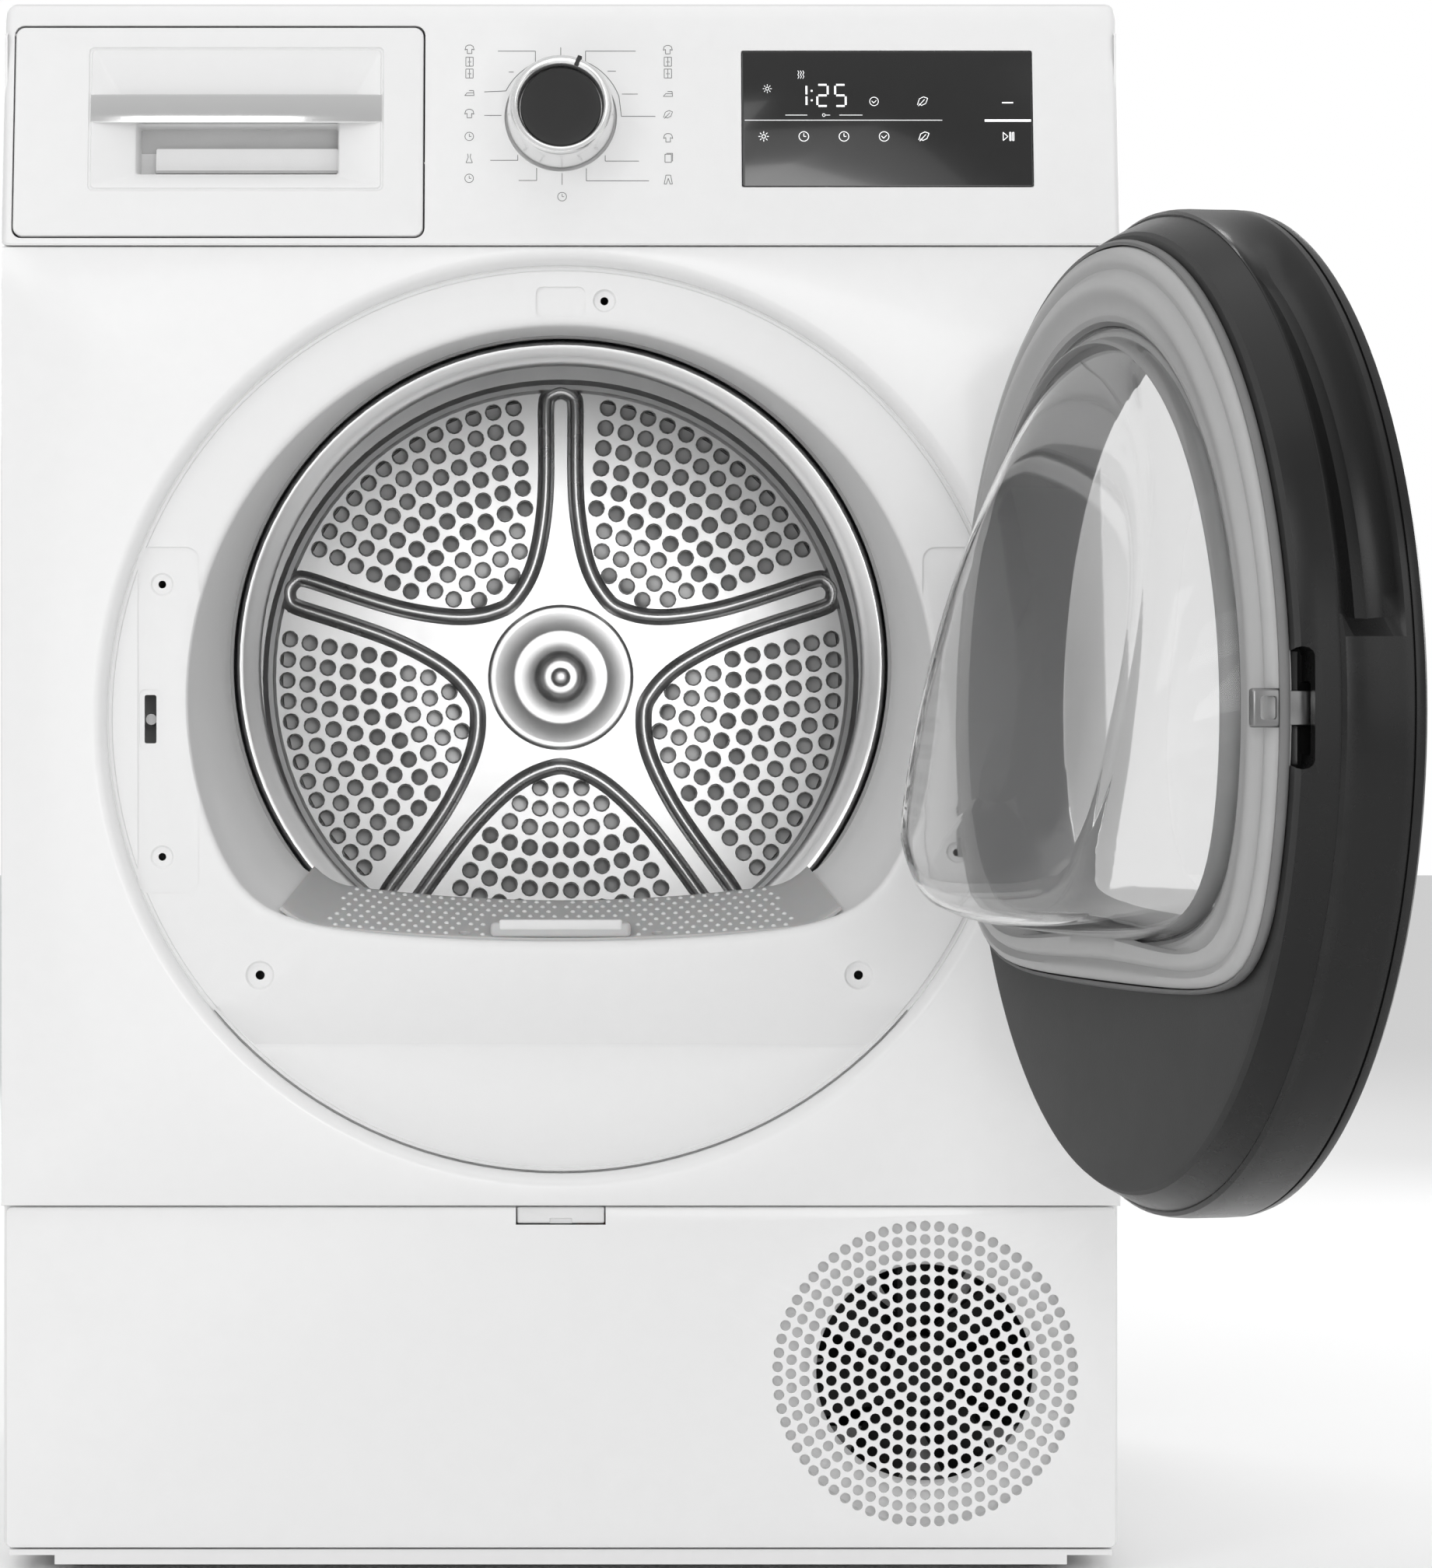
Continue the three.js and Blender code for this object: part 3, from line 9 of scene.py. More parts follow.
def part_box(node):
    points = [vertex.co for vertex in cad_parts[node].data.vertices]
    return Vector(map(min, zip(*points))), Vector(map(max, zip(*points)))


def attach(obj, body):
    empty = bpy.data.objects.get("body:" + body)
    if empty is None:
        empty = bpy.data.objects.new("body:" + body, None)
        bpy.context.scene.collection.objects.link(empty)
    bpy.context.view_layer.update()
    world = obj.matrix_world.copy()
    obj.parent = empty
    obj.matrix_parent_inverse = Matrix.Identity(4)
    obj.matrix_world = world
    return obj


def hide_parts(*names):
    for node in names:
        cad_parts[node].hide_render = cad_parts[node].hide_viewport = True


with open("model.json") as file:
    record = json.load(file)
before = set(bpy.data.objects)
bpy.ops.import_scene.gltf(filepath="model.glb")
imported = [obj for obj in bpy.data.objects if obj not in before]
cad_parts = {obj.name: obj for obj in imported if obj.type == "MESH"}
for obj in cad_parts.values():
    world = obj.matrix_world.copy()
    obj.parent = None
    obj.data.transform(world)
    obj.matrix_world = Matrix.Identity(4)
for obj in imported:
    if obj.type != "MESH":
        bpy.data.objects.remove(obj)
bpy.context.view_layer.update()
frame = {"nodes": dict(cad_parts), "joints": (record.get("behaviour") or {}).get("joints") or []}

MM = 0.001
WHOLE_TURN = 360


def corners(node):
    """Lowest and highest corner of a node, in millimetres."""
    low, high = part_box(node)
    return [v / MM for v in low], [v / MM for v in high]


# ---------------------------------------------------------------- sizes, in millimetres
PANEL_LOW, PANEL_HIGH = corners("front_panel")
FASCIA_LOW, FASCIA_HIGH = corners("control_fascia")
FLAP_LOW, FLAP_HIGH = corners("service_flap")
TOP_LOW, TOP_HIGH = corners("worktop")
DRUM_LOW, DRUM_HIGH = corners("drum_shell")
WALL_LOW, WALL_HIGH = corners("drum_rear_wall")
GLASS_LOW, GLASS_HIGH = corners("display_pane")
DRAWER_LOW, DRAWER_HIGH = corners("drawer_front")
FAN_LOW, FAN_HIGH = corners("cooling_fan")
DOOR_JOINT = next(j for j in frame["joints"] if j["name"] == "door_swing")
HINGE_X, HINGE_Y, DOOR_Z = (v / MM for v in DOOR_JOINT["pos_m"])
OPENED = math.radians(-DOOR_JOINT["range_deg"][0])

FRONT = PANEL_LOW[1]
SHEET = 1.2
LEAN = math.tan(math.radians(9.6))
RING_RADIUS = 243.5
OPENING_RADIUS = 200
OPENING_RISE = 11
SEAL_RADIUS = 182
DRUM_Z = (DRUM_LOW[2] + DRUM_HIGH[2]) / 2
DRUM_RADIUS = (DRUM_HIGH[0] - DRUM_LOW[0]) / 2
FINE = 144
ROUND = 96
SOLID = {"cap": True, "end": True}


# ---------------------------------------------------------------- shaping
def only(piece):
    """Selects one piece and nothing else."""
    bpy.ops.object.select_all(action="DESELECT")
    piece.select_set(True)
    bpy.context.view_layer.objects.active = piece
    return piece


def apply(piece, kind, **settings):
    """Adds one modifier, sets it and applies it."""
    only(piece)
    step = piece.modifiers.new(kind.title(), kind)
    for key, value in settings.items():
        setattr(step, key, value)
    bpy.ops.object.modifier_apply(modifier=step.name)
    return piece


def soften(piece, width, segments=2, angle=35):
    """Rounds the sharp edges."""
    return apply(piece, "BEVEL", width=width * MM, segments=segments, limit_method="ANGLE",
                 angle_limit=math.radians(angle), harden_normals=False)


def thicken(piece, thick):
    """Gives a sheet its thickness, behind its face."""
    return apply(piece, "SOLIDIFY", thickness=thick * MM, offset=-1, use_even_offset=True)


def join(pieces):
    """Makes one mesh of several."""
    bpy.ops.object.select_all(action="DESELECT")
    for piece in pieces:
        piece.select_set(True)
    bpy.context.view_layer.objects.active = pieces[0]
    if len(pieces) > 1:
        bpy.ops.object.join()
    return pieces[0]


def cut(piece, cutters):
    """Cuts the cutters out of a piece."""
    tool = join(cutters)
    apply(piece, "BOOLEAN", object=tool, operation="DIFFERENCE", solver="EXACT")
    bpy.data.objects.remove(tool)
    return piece


def skin(name, loops, cap=False, end=False, ring=False, facing=None):
    """Starts with a circle and extrudes its edge once for each loop of points."""
    bpy.ops.object.select_all(action="DESELECT")
    bpy.ops.mesh.primitive_circle_add(vertices=len(loops[0]), radius=MM,
                                      fill_type="NGON" if cap else "NOTHING")
    piece = bpy.context.object
    piece.name = name
    bpy.ops.object.mode_set(mode="EDIT")
    bpy.ops.mesh.select_mode(type="EDGE")
    bpy.ops.mesh.select_all(action="SELECT")
    mesh = bmesh.from_edit_mesh(piece.data)
    number = mesh.verts.layers.int.new("number")
    for vert in mesh.verts:
        vert[number] = vert.index
    for step, loop in enumerate(list(loops) + ([loops[0]] if ring else [])):
        if step:
            bmesh.update_edit_mesh(piece.data)
            bpy.ops.mesh.extrude_edges_indiv()
            mesh = bmesh.from_edit_mesh(piece.data)
            number = mesh.verts.layers.int["number"]
        for vert in mesh.verts:
            if vert.select:
                vert.co = Vector(loop[vert[number]]) * MM
    bmesh.update_edit_mesh(piece.data)
    if end:
        bpy.ops.mesh.edge_face_add()
    bpy.ops.mesh.select_mode(type="VERT")
    bpy.ops.mesh.select_all(action="SELECT")
    bpy.ops.mesh.remove_doubles(threshold=1e-6)
    bpy.ops.mesh.normals_make_consistent(inside=False)
    bpy.ops.object.mode_set(mode="OBJECT")
    piece.data.attributes.remove(piece.data.attributes["number"])
    if facing:
        total = sum((f.normal * f.area for f in piece.data.polygons), Vector())
        if total.dot(Vector(facing)) < 0:
            piece.data.flip_normals()
    return piece


def block(name, low, high, edge=0, segments=2):
    """A box between two corners with rounded edges."""
    bpy.ops.object.select_all(action="DESELECT")
    bpy.ops.mesh.primitive_cube_add(size=1)
    piece = bpy.context.object
    piece.name = name
    middle = (Vector(low) + Vector(high)) / 2 * MM
    size = (Vector(high) - Vector(low)) * MM
    piece.data.transform(Matrix.Translation(middle) @ Matrix.Diagonal((*size, 1)))
    return soften(piece, edge, segments) if edge else piece


def angles(sides):
    """Angles clockwise from the top, one for each side."""
    return [math.radians(90 - WHOLE_TURN * k / sides) for k in range(sides)]


def outline(reach, y, centre, sides=ROUND):
    """A closed line round a centre in an upright plane; reach gives the radius for an angle."""
    x0, z0 = centre
    size = reach if callable(reach) else lambda turn: reach
    return [(x0 + size(t) * math.cos(t), y, z0 + size(t) * math.sin(t)) for t in angles(sides)]


def turned(name, profile, centre, sides=ROUND, **ends):
    """A piece turned about a line along Y; the profile is pairs of radius and y."""
    return skin(name, [outline(r, y, centre, sides) for r, y in profile], **ends)


def framed(left, right, bottom, top, y, corner=0.05, steps=6):
    """A rectangle with round corners in an upright plane; y is a number or goes with the height."""
    depth = y if callable(y) else lambda z: y
    points = []
    for x, z, first in ((right, top, 90), (right, bottom, 0), (left, bottom, -90), (left, top, -180)):
        x0 = x - corner if x == right else x + corner
        z0 = z - corner if z == top else z + corner
        for k in range(steps + 1):
            t = math.radians(first - 90 * k / steps)
            points.append((x0 + corner * math.cos(t), z0 + corner * math.sin(t)))
    return [(px, depth(pz), pz) for px, pz in points]


def carry(piece, matrix):
    """Moves a piece's own points."""
    piece.data.transform(matrix)
    return piece


def copies(piece, matrices):
    """Copies a shape to each place and makes one mesh of them."""
    made = []
    for matrix in matrices:
        twin = piece.copy()
        twin.data = piece.data.copy()
        twin.data.transform(matrix)
        bpy.context.scene.collection.objects.link(twin)
        made.append(twin)
    bpy.data.objects.remove(piece)
    return join(made)


def shift(x, y, z):
    return Matrix.Translation(Vector((x, y, z)) * MM)


def fit(piece, name, body, finish, slot, *nodes, smooth=35):
    """Names a finished piece, paints it, and hangs it on its body."""
    piece.name = name
    if finish:
        piece.data.materials.clear()
        piece.data.materials.append(finish)
    only(piece)
    bpy.ops.object.shade_smooth_by_angle(angle=math.radians(smooth))
    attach(piece, body)
    if nodes:
        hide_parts(*nodes)
    return piece


# ---------------------------------------------------------------- shader groups
def new_group(name, inputs, outputs):
    tree = bpy.data.node_groups.new(name, "ShaderNodeTree")
    for label, kind, value in inputs:
        socket = tree.interface.new_socket(label, in_out="INPUT", socket_type=kind)
        socket.default_value = value
    for label, kind in outputs:
        tree.interface.new_socket(label, in_out="OUTPUT", socket_type=kind)
    return tree, tree.nodes.new("NodeGroupInput"), tree.nodes.new("NodeGroupOutput")


def node(tree, kind, links=(), **values):
    """A node with its sockets set by name and its inputs linked."""
    made = tree.nodes.new(kind)
    for key, value in values.items():
        if hasattr(made, key):
            setattr(made, key, value)
        else:
            made.inputs[key.replace("_", " ")].default_value = value
    for label, source in links:
        tree.links.new(source, made.inputs[label])
    return made


def surface_noise(tree, scale, detail, stretch=None):
    """Noise that stays with the piece."""
    place = node(tree, "ShaderNodeTexCoord").outputs["Object"]
    if stretch is not None:
        place = node(tree, "ShaderNodeVectorMath", [(0, place), (1, stretch)],
                operation="MULTIPLY").outputs[0]
    return node(tree, "ShaderNodeTexNoise", [("Vector", place), ("Scale", scale)],
            Detail=detail).outputs["Fac"]


def make_tone_drift():
    """Slow changes of tone and gloss, as handling and dust leave them."""
    colour, number = "NodeSocketColor", "NodeSocketFloat"
    tree, inside, out = new_group("tone_drift",
        [("Colour", colour, (1, 1, 1, 1)), ("Amount", number, 0.05), ("Scale", number, 6),
         ("Roughness", number, 0.4), ("Gloss Drift", number, 0.08)],
        [("Colour", colour), ("Roughness", number)])
    wide = surface_noise(tree, inside.outputs["Scale"], 4)
    fine = node(tree, "ShaderNodeTexNoise", [("Vector", node(tree, "ShaderNodeTexCoord").outputs["Object"])],
                Scale=90, Detail=3).outputs["Fac"]
    blend = node(tree, "ShaderNodeMath", [(0, wide), (1, fine)], operation="MULTIPLY").outputs[0]
    centred = node(tree, "ShaderNodeMath", [(0, blend)], operation="SUBTRACT")
    centred.inputs[1].default_value = 0.25
    swing = node(tree, "ShaderNodeMath", [(0, centred.outputs[0]), (1, inside.outputs["Amount"])],
            operation="MULTIPLY")
    level = node(tree, "ShaderNodeMath", [(0, swing.outputs[0])], operation="ADD")
    level.inputs[1].default_value = 1
    tinted = node(tree, "ShaderNodeVectorMath", [(0, inside.outputs["Colour"]),
            ("Scale", level.outputs[0])], operation="SCALE")
    tree.links.new(tinted.outputs[0], out.inputs["Colour"])
    rough = node(tree, "ShaderNodeMath", [(0, centred.outputs[0]), (1, inside.outputs["Gloss Drift"])],
            operation="MULTIPLY")
    total = node(tree, "ShaderNodeMath", [(0, rough.outputs[0]), (1, inside.outputs["Roughness"])],
            operation="ADD")
    tree.links.new(total.outputs[0], out.inputs["Roughness"])
    return tree


def make_edge_wear():
    """Edges that are rubbed a little lighter or darker than the faces."""
    colour, number = "NodeSocketColor", "NodeSocketFloat"
    tree, inside, out = new_group("edge_wear",
        [("Colour", colour, (1, 1, 1, 1)), ("Worn", colour, (1, 1, 1, 1)), ("Amount", number, 0.5)],
        [("Colour", colour), ("Mask", number)])
    bend = node(tree, "ShaderNodeNewGeometry").outputs["Pointiness"]
    edge = node(tree, "ShaderNodeMapRange", [("Value", bend)])
    edge.inputs["From Min"].default_value = 0.51
    edge.inputs["From Max"].default_value = 0.58
    patch = node(tree, "ShaderNodeTexNoise",
            [("Vector", node(tree, "ShaderNodeTexCoord").outputs["Object"])], Scale=45, Detail=3)
    rubbed = node(tree, "ShaderNodeMath", [(0, edge.outputs[0]), (1, patch.outputs["Fac"])],
            operation="MULTIPLY")
    mask = node(tree, "ShaderNodeMath", [(0, rubbed.outputs[0]), (1, inside.outputs["Amount"])],
            operation="MULTIPLY", use_clamp=True)
    mixed = tree.nodes.new("ShaderNodeMix")
    mixed.data_type = "RGBA"
    tree.links.new(mask.outputs[0], mixed.inputs[0])
    tree.links.new(inside.outputs["Colour"], mixed.inputs[6])
    tree.links.new(inside.outputs["Worn"], mixed.inputs[7])
    tree.links.new(mixed.outputs[2], out.inputs["Colour"])
    tree.links.new(mask.outputs[0], out.inputs["Mask"])
    return tree


def make_grain():
    """Height of a moulded, sprayed or brushed surface; Stretch draws the grain out into lines."""
    number = "NodeSocketFloat"
    tree, inside, out = new_group("surface_grain",
        [("Scale", number, 900), ("Stretch", "NodeSocketVector", (1, 1, 1))],
        [("Height", number)])
    height = surface_noise(tree, inside.outputs["Scale"], 2, inside.outputs["Stretch"])
    tree.links.new(height, out.inputs["Height"])
    return tree


TONE, WEAR, GRAIN = make_tone_drift(), make_edge_wear(), make_grain()


def place_group(tree, group, **values):
    made = tree.nodes.new("ShaderNodeGroup")
    made.node_tree = group
    for key, value in values.items():
        made.inputs[key.replace("_", " ")].default_value = value
    return made


def grey(value, tint=(1, 1, 1)):
    return (value * tint[0], value * tint[1], value * tint[2], 1)


def finish(name, colour, rough, drift=0.1, scale=6, gloss=0.1, grain=900, depth=0.04,
           stretch=(1, 1, 1), worn=None, wear=0.5, **sockets):
    """A material with drifting tone, rubbed edges and a grained surface."""
    material = bpy.data.materials.new(name)
    material.use_nodes = True
    tree = material.node_tree
    shader = tree.nodes["Principled BSDF"]
    tone = place_group(tree, TONE, Colour=colour, Amount=drift, Scale=scale, Roughness=rough,
            Gloss_Drift=gloss)
    edge = place_group(tree, WEAR, Worn=worn or colour, Amount=wear)
    height = place_group(tree, GRAIN, Scale=grain, Stretch=stretch)
    bump = node(tree, "ShaderNodeBump", [("Height", height.outputs["Height"])], Strength=depth,
            Distance=0.0004)
    tree.links.new(tone.outputs["Colour"], edge.inputs["Colour"])
    tree.links.new(edge.outputs["Colour"], shader.inputs["Base Color"])
    tree.links.new(tone.outputs["Roughness"], shader.inputs["Roughness"])
    tree.links.new(bump.outputs["Normal"], shader.inputs["Normal"])
    for key, value in sockets.items():
        shader.inputs[key.replace("_", " ")].default_value = value
    return material


ENAMEL = finish("white_enamel", grey(0.86), 0.3, drift=0.05, scale=3, grain=500, depth=0.03,
                worn=grey(0.93), Coat_Weight=0.25, Coat_Roughness=0.1)
WHITE_MOULDED = finish("white_moulded", grey(0.83), 0.36, drift=0.05, scale=5, grain=1400, depth=0.08,
                       worn=grey(0.9), Specular_IOR_Level=0.5)
LAMINATE = finish("white_laminate", grey(0.84), 0.34, drift=0.06, scale=8, grain=700, depth=0.06,
        worn=grey(0.9))
GLOSS_BLACK = finish("black_gloss", grey(0.006), 0.13, drift=0.3, scale=9, gloss=0.08, grain=300, depth=0.01,
                     worn=grey(0.03), Coat_Weight=0.35, Coat_Roughness=0.05)
DOOR_BLACK = finish("door_black", grey(0.007), 0.27, Specular_IOR_Level=0.3, drift=0.3, scale=7,
        grain=1200, depth=0.05, worn=grey(0.05))
CHARCOAL = finish("charcoal_moulded", grey(0.024), 0.5, Specular_IOR_Level=0.25, drift=0.25, scale=7,
        grain=1300, depth=0.15, worn=grey(0.09))
GREY_MOULDED = finish("grey_moulded", grey(0.40), 0.4, drift=0.1, scale=8, grain=1300, depth=0.08,
        worn=grey(0.55))
TUNNEL_GREY = finish("tunnel_grey", grey(0.24), 0.42, drift=0.15, scale=8, grain=1300, depth=0.08,
        worn=grey(0.25))
PALE_GREY = finish("pale_grey_moulded", grey(0.5), 0.42, drift=0.1, scale=9, grain=1300, depth=0.08,
        worn=grey(0.65))
FILTER_GREY = finish("filter_grey", grey(0.52), 0.35, drift=0.12, scale=9, grain=1300, depth=0.08,
                     worn=grey(0.6), Subsurface_Weight=0.15, Subsurface_Scale=0.004)
WHITE_DOTS = finish("filter_dots", grey(0.75), 0.35, drift=0.08, scale=9, worn=grey(0.85))
DRUM_STEEL = finish("drum_steel", grey(0.82), 0.34, drift=0.12, scale=7, gloss=0.15, grain=260, depth=0.05,
                    stretch=(1, 12, 1), worn=grey(0.85), wear=0.7, Metallic=1)
POLISHED = finish("polished_steel", grey(0.88), 0.3, drift=0.1, scale=6, gloss=0.1, grain=200, depth=0.03,
                  stretch=(1, 8, 1), worn=grey(0.9), Metallic=1)
# The drum steel again, painted darker as the shade on the sloped walls of the pressed star rib and the hole
# rims
STEEL_PAINTED_SHADE = finish("steel_painted_shade", grey(0.60), 0.28, drift=0.16, scale=9, gloss=0.15, grain=260, depth=0.05,
                 worn=grey(0.8), wear=0.8, Metallic=1)
ZINC = finish("zinc_plate", grey(0.5), 0.42, drift=0.3, scale=30, gloss=0.3, grain=120, depth=0.1,
        worn=grey(0.7), Metallic=1)
HOOK_STEEL = finish("hook_steel", grey(0.2), 0.3, drift=0.2, scale=20, gloss=0.2, grain=200, depth=0.06,
        worn=grey(0.4), Metallic=1)
CHROME = finish("bright_chrome", grey(0.80), 0.07, drift=0.06, scale=6, gloss=0.04, grain=200, depth=0.01,
                worn=grey(0.9), Metallic=1)
SATIN = finish("satin_chrome", grey(0.86), 0.24, drift=0.06, scale=6, gloss=0.06, grain=400, depth=0.03,
               stretch=(8, 1, 1), worn=grey(0.85), Metallic=1)
RUBBER = finish("black_rubber", grey(0.03), 0.62, drift=0.3, scale=14, grain=900, depth=0.2, worn=grey(0.07))
GREY_RUBBER = finish("grey_rubber", grey(0.14), 0.55, drift=0.2, scale=14, grain=900, depth=0.15,
        worn=grey(0.2))
MARKING = finish("grey_marking", grey(0.05), 0.5, drift=0.1, scale=20, worn=grey(0.25))
LIT = finish("lit_marking", grey(0.8), 0.4, drift=0.05, scale=20, worn=grey(0.9), Emission_Strength=0.6,
             Emission_Color=(0.95, 0.97, 1, 1))
COPPER = finish("copper_tube", (0.72, 0.36, 0.2, 1), 0.32, drift=0.3, scale=18, gloss=0.2, worn=(0.9, 0.6,
        0.45, 1), Metallic=1)
ALUMINIUM = finish("aluminium", grey(0.6), 0.36, drift=0.15, scale=14, gloss=0.2, grain=240, depth=0.08,
        worn=grey(0.8), Metallic=1)
BLACK_STEEL = finish("black_paint", grey(0.02), 0.4, drift=0.3, scale=12, grain=300, depth=0.1,
        worn=grey(0.15))
BOARD = finish("board_green", (0.03, 0.16, 0.07, 1), 0.4, drift=0.3, scale=40, worn=(0.2, 0.3, 0.15, 1))
FELT = finish("woven_mesh", grey(0.3), 0.7, drift=0.4, scale=60, grain=2400, depth=0.4, worn=grey(0.4))


def clear_finish(name, colour, rough, ior):
    """Clear glass or plastic with faint smears."""
    material = bpy.data.materials.new(name)
    material.use_nodes = True
    tree = material.node_tree
    shader = tree.nodes["Principled BSDF"]
    tone = place_group(tree, TONE, Colour=colour, Amount=0.03, Scale=9, Roughness=rough, Gloss_Drift=0.03)
    height = place_group(tree, GRAIN, Scale=60)
    bump = node(tree, "ShaderNodeBump", [("Height", height.outputs["Height"])], Strength=0.01,
            Distance=0.0004)
    tree.links.new(tone.outputs["Colour"], shader.inputs["Base Color"])
    tree.links.new(tone.outputs["Roughness"], shader.inputs["Roughness"])
    tree.links.new(bump.outputs["Normal"], shader.inputs["Normal"])
    shader.inputs["Transmission Weight"].default_value = 1
    shader.inputs["IOR"].default_value = ior
    return material


CLEAR = clear_finish("clear_bowl", grey(0.99), 0.02, 1.2)
PANE = clear_finish("clear_pane", grey(0.97), 0.02, 1.45)


# ---------------------------------------------------------------- cabinet
def side_sheet(name, node_name, sign):
    """A folded side panel with a long shallow pressed field."""
    low, high = corners(node_name)
    outer = max(abs(low[0]), abs(high[0]))
    inner = min(abs(low[0]), abs(high[0]))

    def loop(x, inset, corner):
        points = framed(low[1] + inset, high[1] - inset, low[2] + inset, high[2] - inset, 0, corner)
        return [(sign * x, y, z) for y, _, z in points]

    loops = [loop(inner, 0, 3), loop(outer - 1.6, 0, 3), loop(outer - 0.5, 0.5, 2.6), loop(outer, 1.7, 2),
            loop(outer, 46, 22), loop(outer - 0.6, 48, 20), loop(outer - 1.8, 52, 18), loop(outer - 2, 56,
            16)]
    piece = skin(name, loops, end=True, facing=(sign, 0, 0))
    thicken(piece, SHEET)
    reach = (sign * (inner - 2), sign * (outer - 2))
    drawer_way = block("drawer_way", (min(reach), low[1] - 2, DRAWER_LOW[2]), (max(reach), low[1] + 6,
            high[2] + 2))
    cut(piece, [drawer_way])
    return fit(piece, name, "cabinet", ENAMEL, "steel_white", node_name)


def worktop_board():
    low, high = TOP_LOW, TOP_HIGH
    piece = block("worktop_board", low, high, 2.2, 4)
    groove = block("groove", (low[0] - 1, high[1] - 9, low[2] - 1), (high[0] + 1, high[1] - 6, low[2] + 2.5))
    cut(piece, [groove])
    return fit(piece, "worktop_board", "cabinet", LAMINATE, "worktop", "worktop")


def front_sheet():
    """The front panel: a flat sheet with a rolled ring round the opening and folded edges."""
    low, high = PANEL_LOW, PANEL_HIGH
    centre = (0, DOOR_Z)
    roll = [(RING_RADIUS, 11.5), (RING_RADIUS + 0.4, 7.6), (RING_RADIUS + 1.3, 4.4), (RING_RADIUS + 2.7, 2.2),
            (RING_RADIUS + 4.3, 0.9), (RING_RADIUS + 5.8, 0.25), (RING_RADIUS + 7.2, 0)]
    loops = [outline(r, FRONT + y, centre, FINE) for r, y in roll]

    def edge(inset, y):
        wide, tall_up, tall_down = high[0] - inset, high[2] - inset - DOOR_Z, DOOR_Z - low[2] - inset
        points = []
        for t in angles(FINE):
            c, s = math.cos(t), math.sin(t)
            tall = tall_up if s > 0 else tall_down
            reach = min(wide / max(abs(c), 1e-9), tall / max(abs(s), 1e-9))
            points.append([reach * c, FRONT + y, DOOR_Z + reach * s])
        for x in (-wide, wide):
            for z in (DOOR_Z + tall_up, DOOR_Z - tall_down):
                near = min(points, key=lambda p: (p[0] - x) ** 2 + (p[2] - z) ** 2)
                near[0], near[2] = x, z
        return points

    loops += [edge(1.6, 0), edge(0.5, 0.45), edge(0, 1.6), edge(0, 14)]
    piece = skin("front_sheet", loops, facing=(0, -1, 0))
    thicken(piece, SHEET)
    return fit(piece, "front_sheet", "cabinet", ENAMEL, "steel_white", "front_panel", smooth=40)


def back_sheet():
    """The rear panel: a flat sheet with pressed fields, a round duct cover and vent slots."""
    low, high = corners("back_panel")
    piece = block("back_sheet", (low[0], high[1] - 0.9, low[2]), high, 0.3, 1)
    slots = [block("slot", (x - 3, low[1] - 2, z - 14), (x + 3, high[1] + 2, z + 14), 2.4, 3)
             for z in (90, 134) for x in range(-240, -79, 12)]
    inlet_low, inlet_high = corners("cord_inlet")
    outlet_low, outlet_high = corners("drain_outlet")
    for lo, hi, name in ((inlet_low, inlet_high, "inlet"), (outlet_low, outlet_high, "outlet")):
        centre = ((lo[0] + hi[0]) / 2, (lo[2] + hi[2]) / 2)
        slots.append(turned(name, [((hi[0] - lo[0]) / 2 - 1, low[1] - 3),
                ((hi[0] - lo[0]) / 2 - 1, high[1] + 3)], centre, 32, **SOLID))
    cut(piece, slots)
    beads = []
    for radius, thick in ((262, 7), (DRUM_RADIUS - 80, 6)):
        bead = [(radius - thick, high[1] - 0.4), (radius - thick / 2, high[1] + 0.45),
                (radius + thick / 2, high[1] + 0.45), (radius + thick, high[1] - 0.4)]
        beads.append(turned("bead", bead, (0, DRUM_Z - 10), 72, ring=True))
    screws = [turned("screw", [(4, high[1] - 0.3), (3.8, high[1] + 0.6), (1.4, high[1] + 0.9)], (x, z),
            16, **SOLID) for x in (low[0] + 12, high[0] - 12) for z in (40, 240, 440, 640, 810)]
    piece = join([piece] + beads + screws)
    return fit(piece, "back_sheet", "cabinet", ZINC, "steel_white", "back_panel")


def lean_y(z, deep=0.0):
    """The leaning face of the control fascia at a height."""
    return FASCIA_LOW[1] + (z - FASCIA_LOW[2]) * LEAN + deep


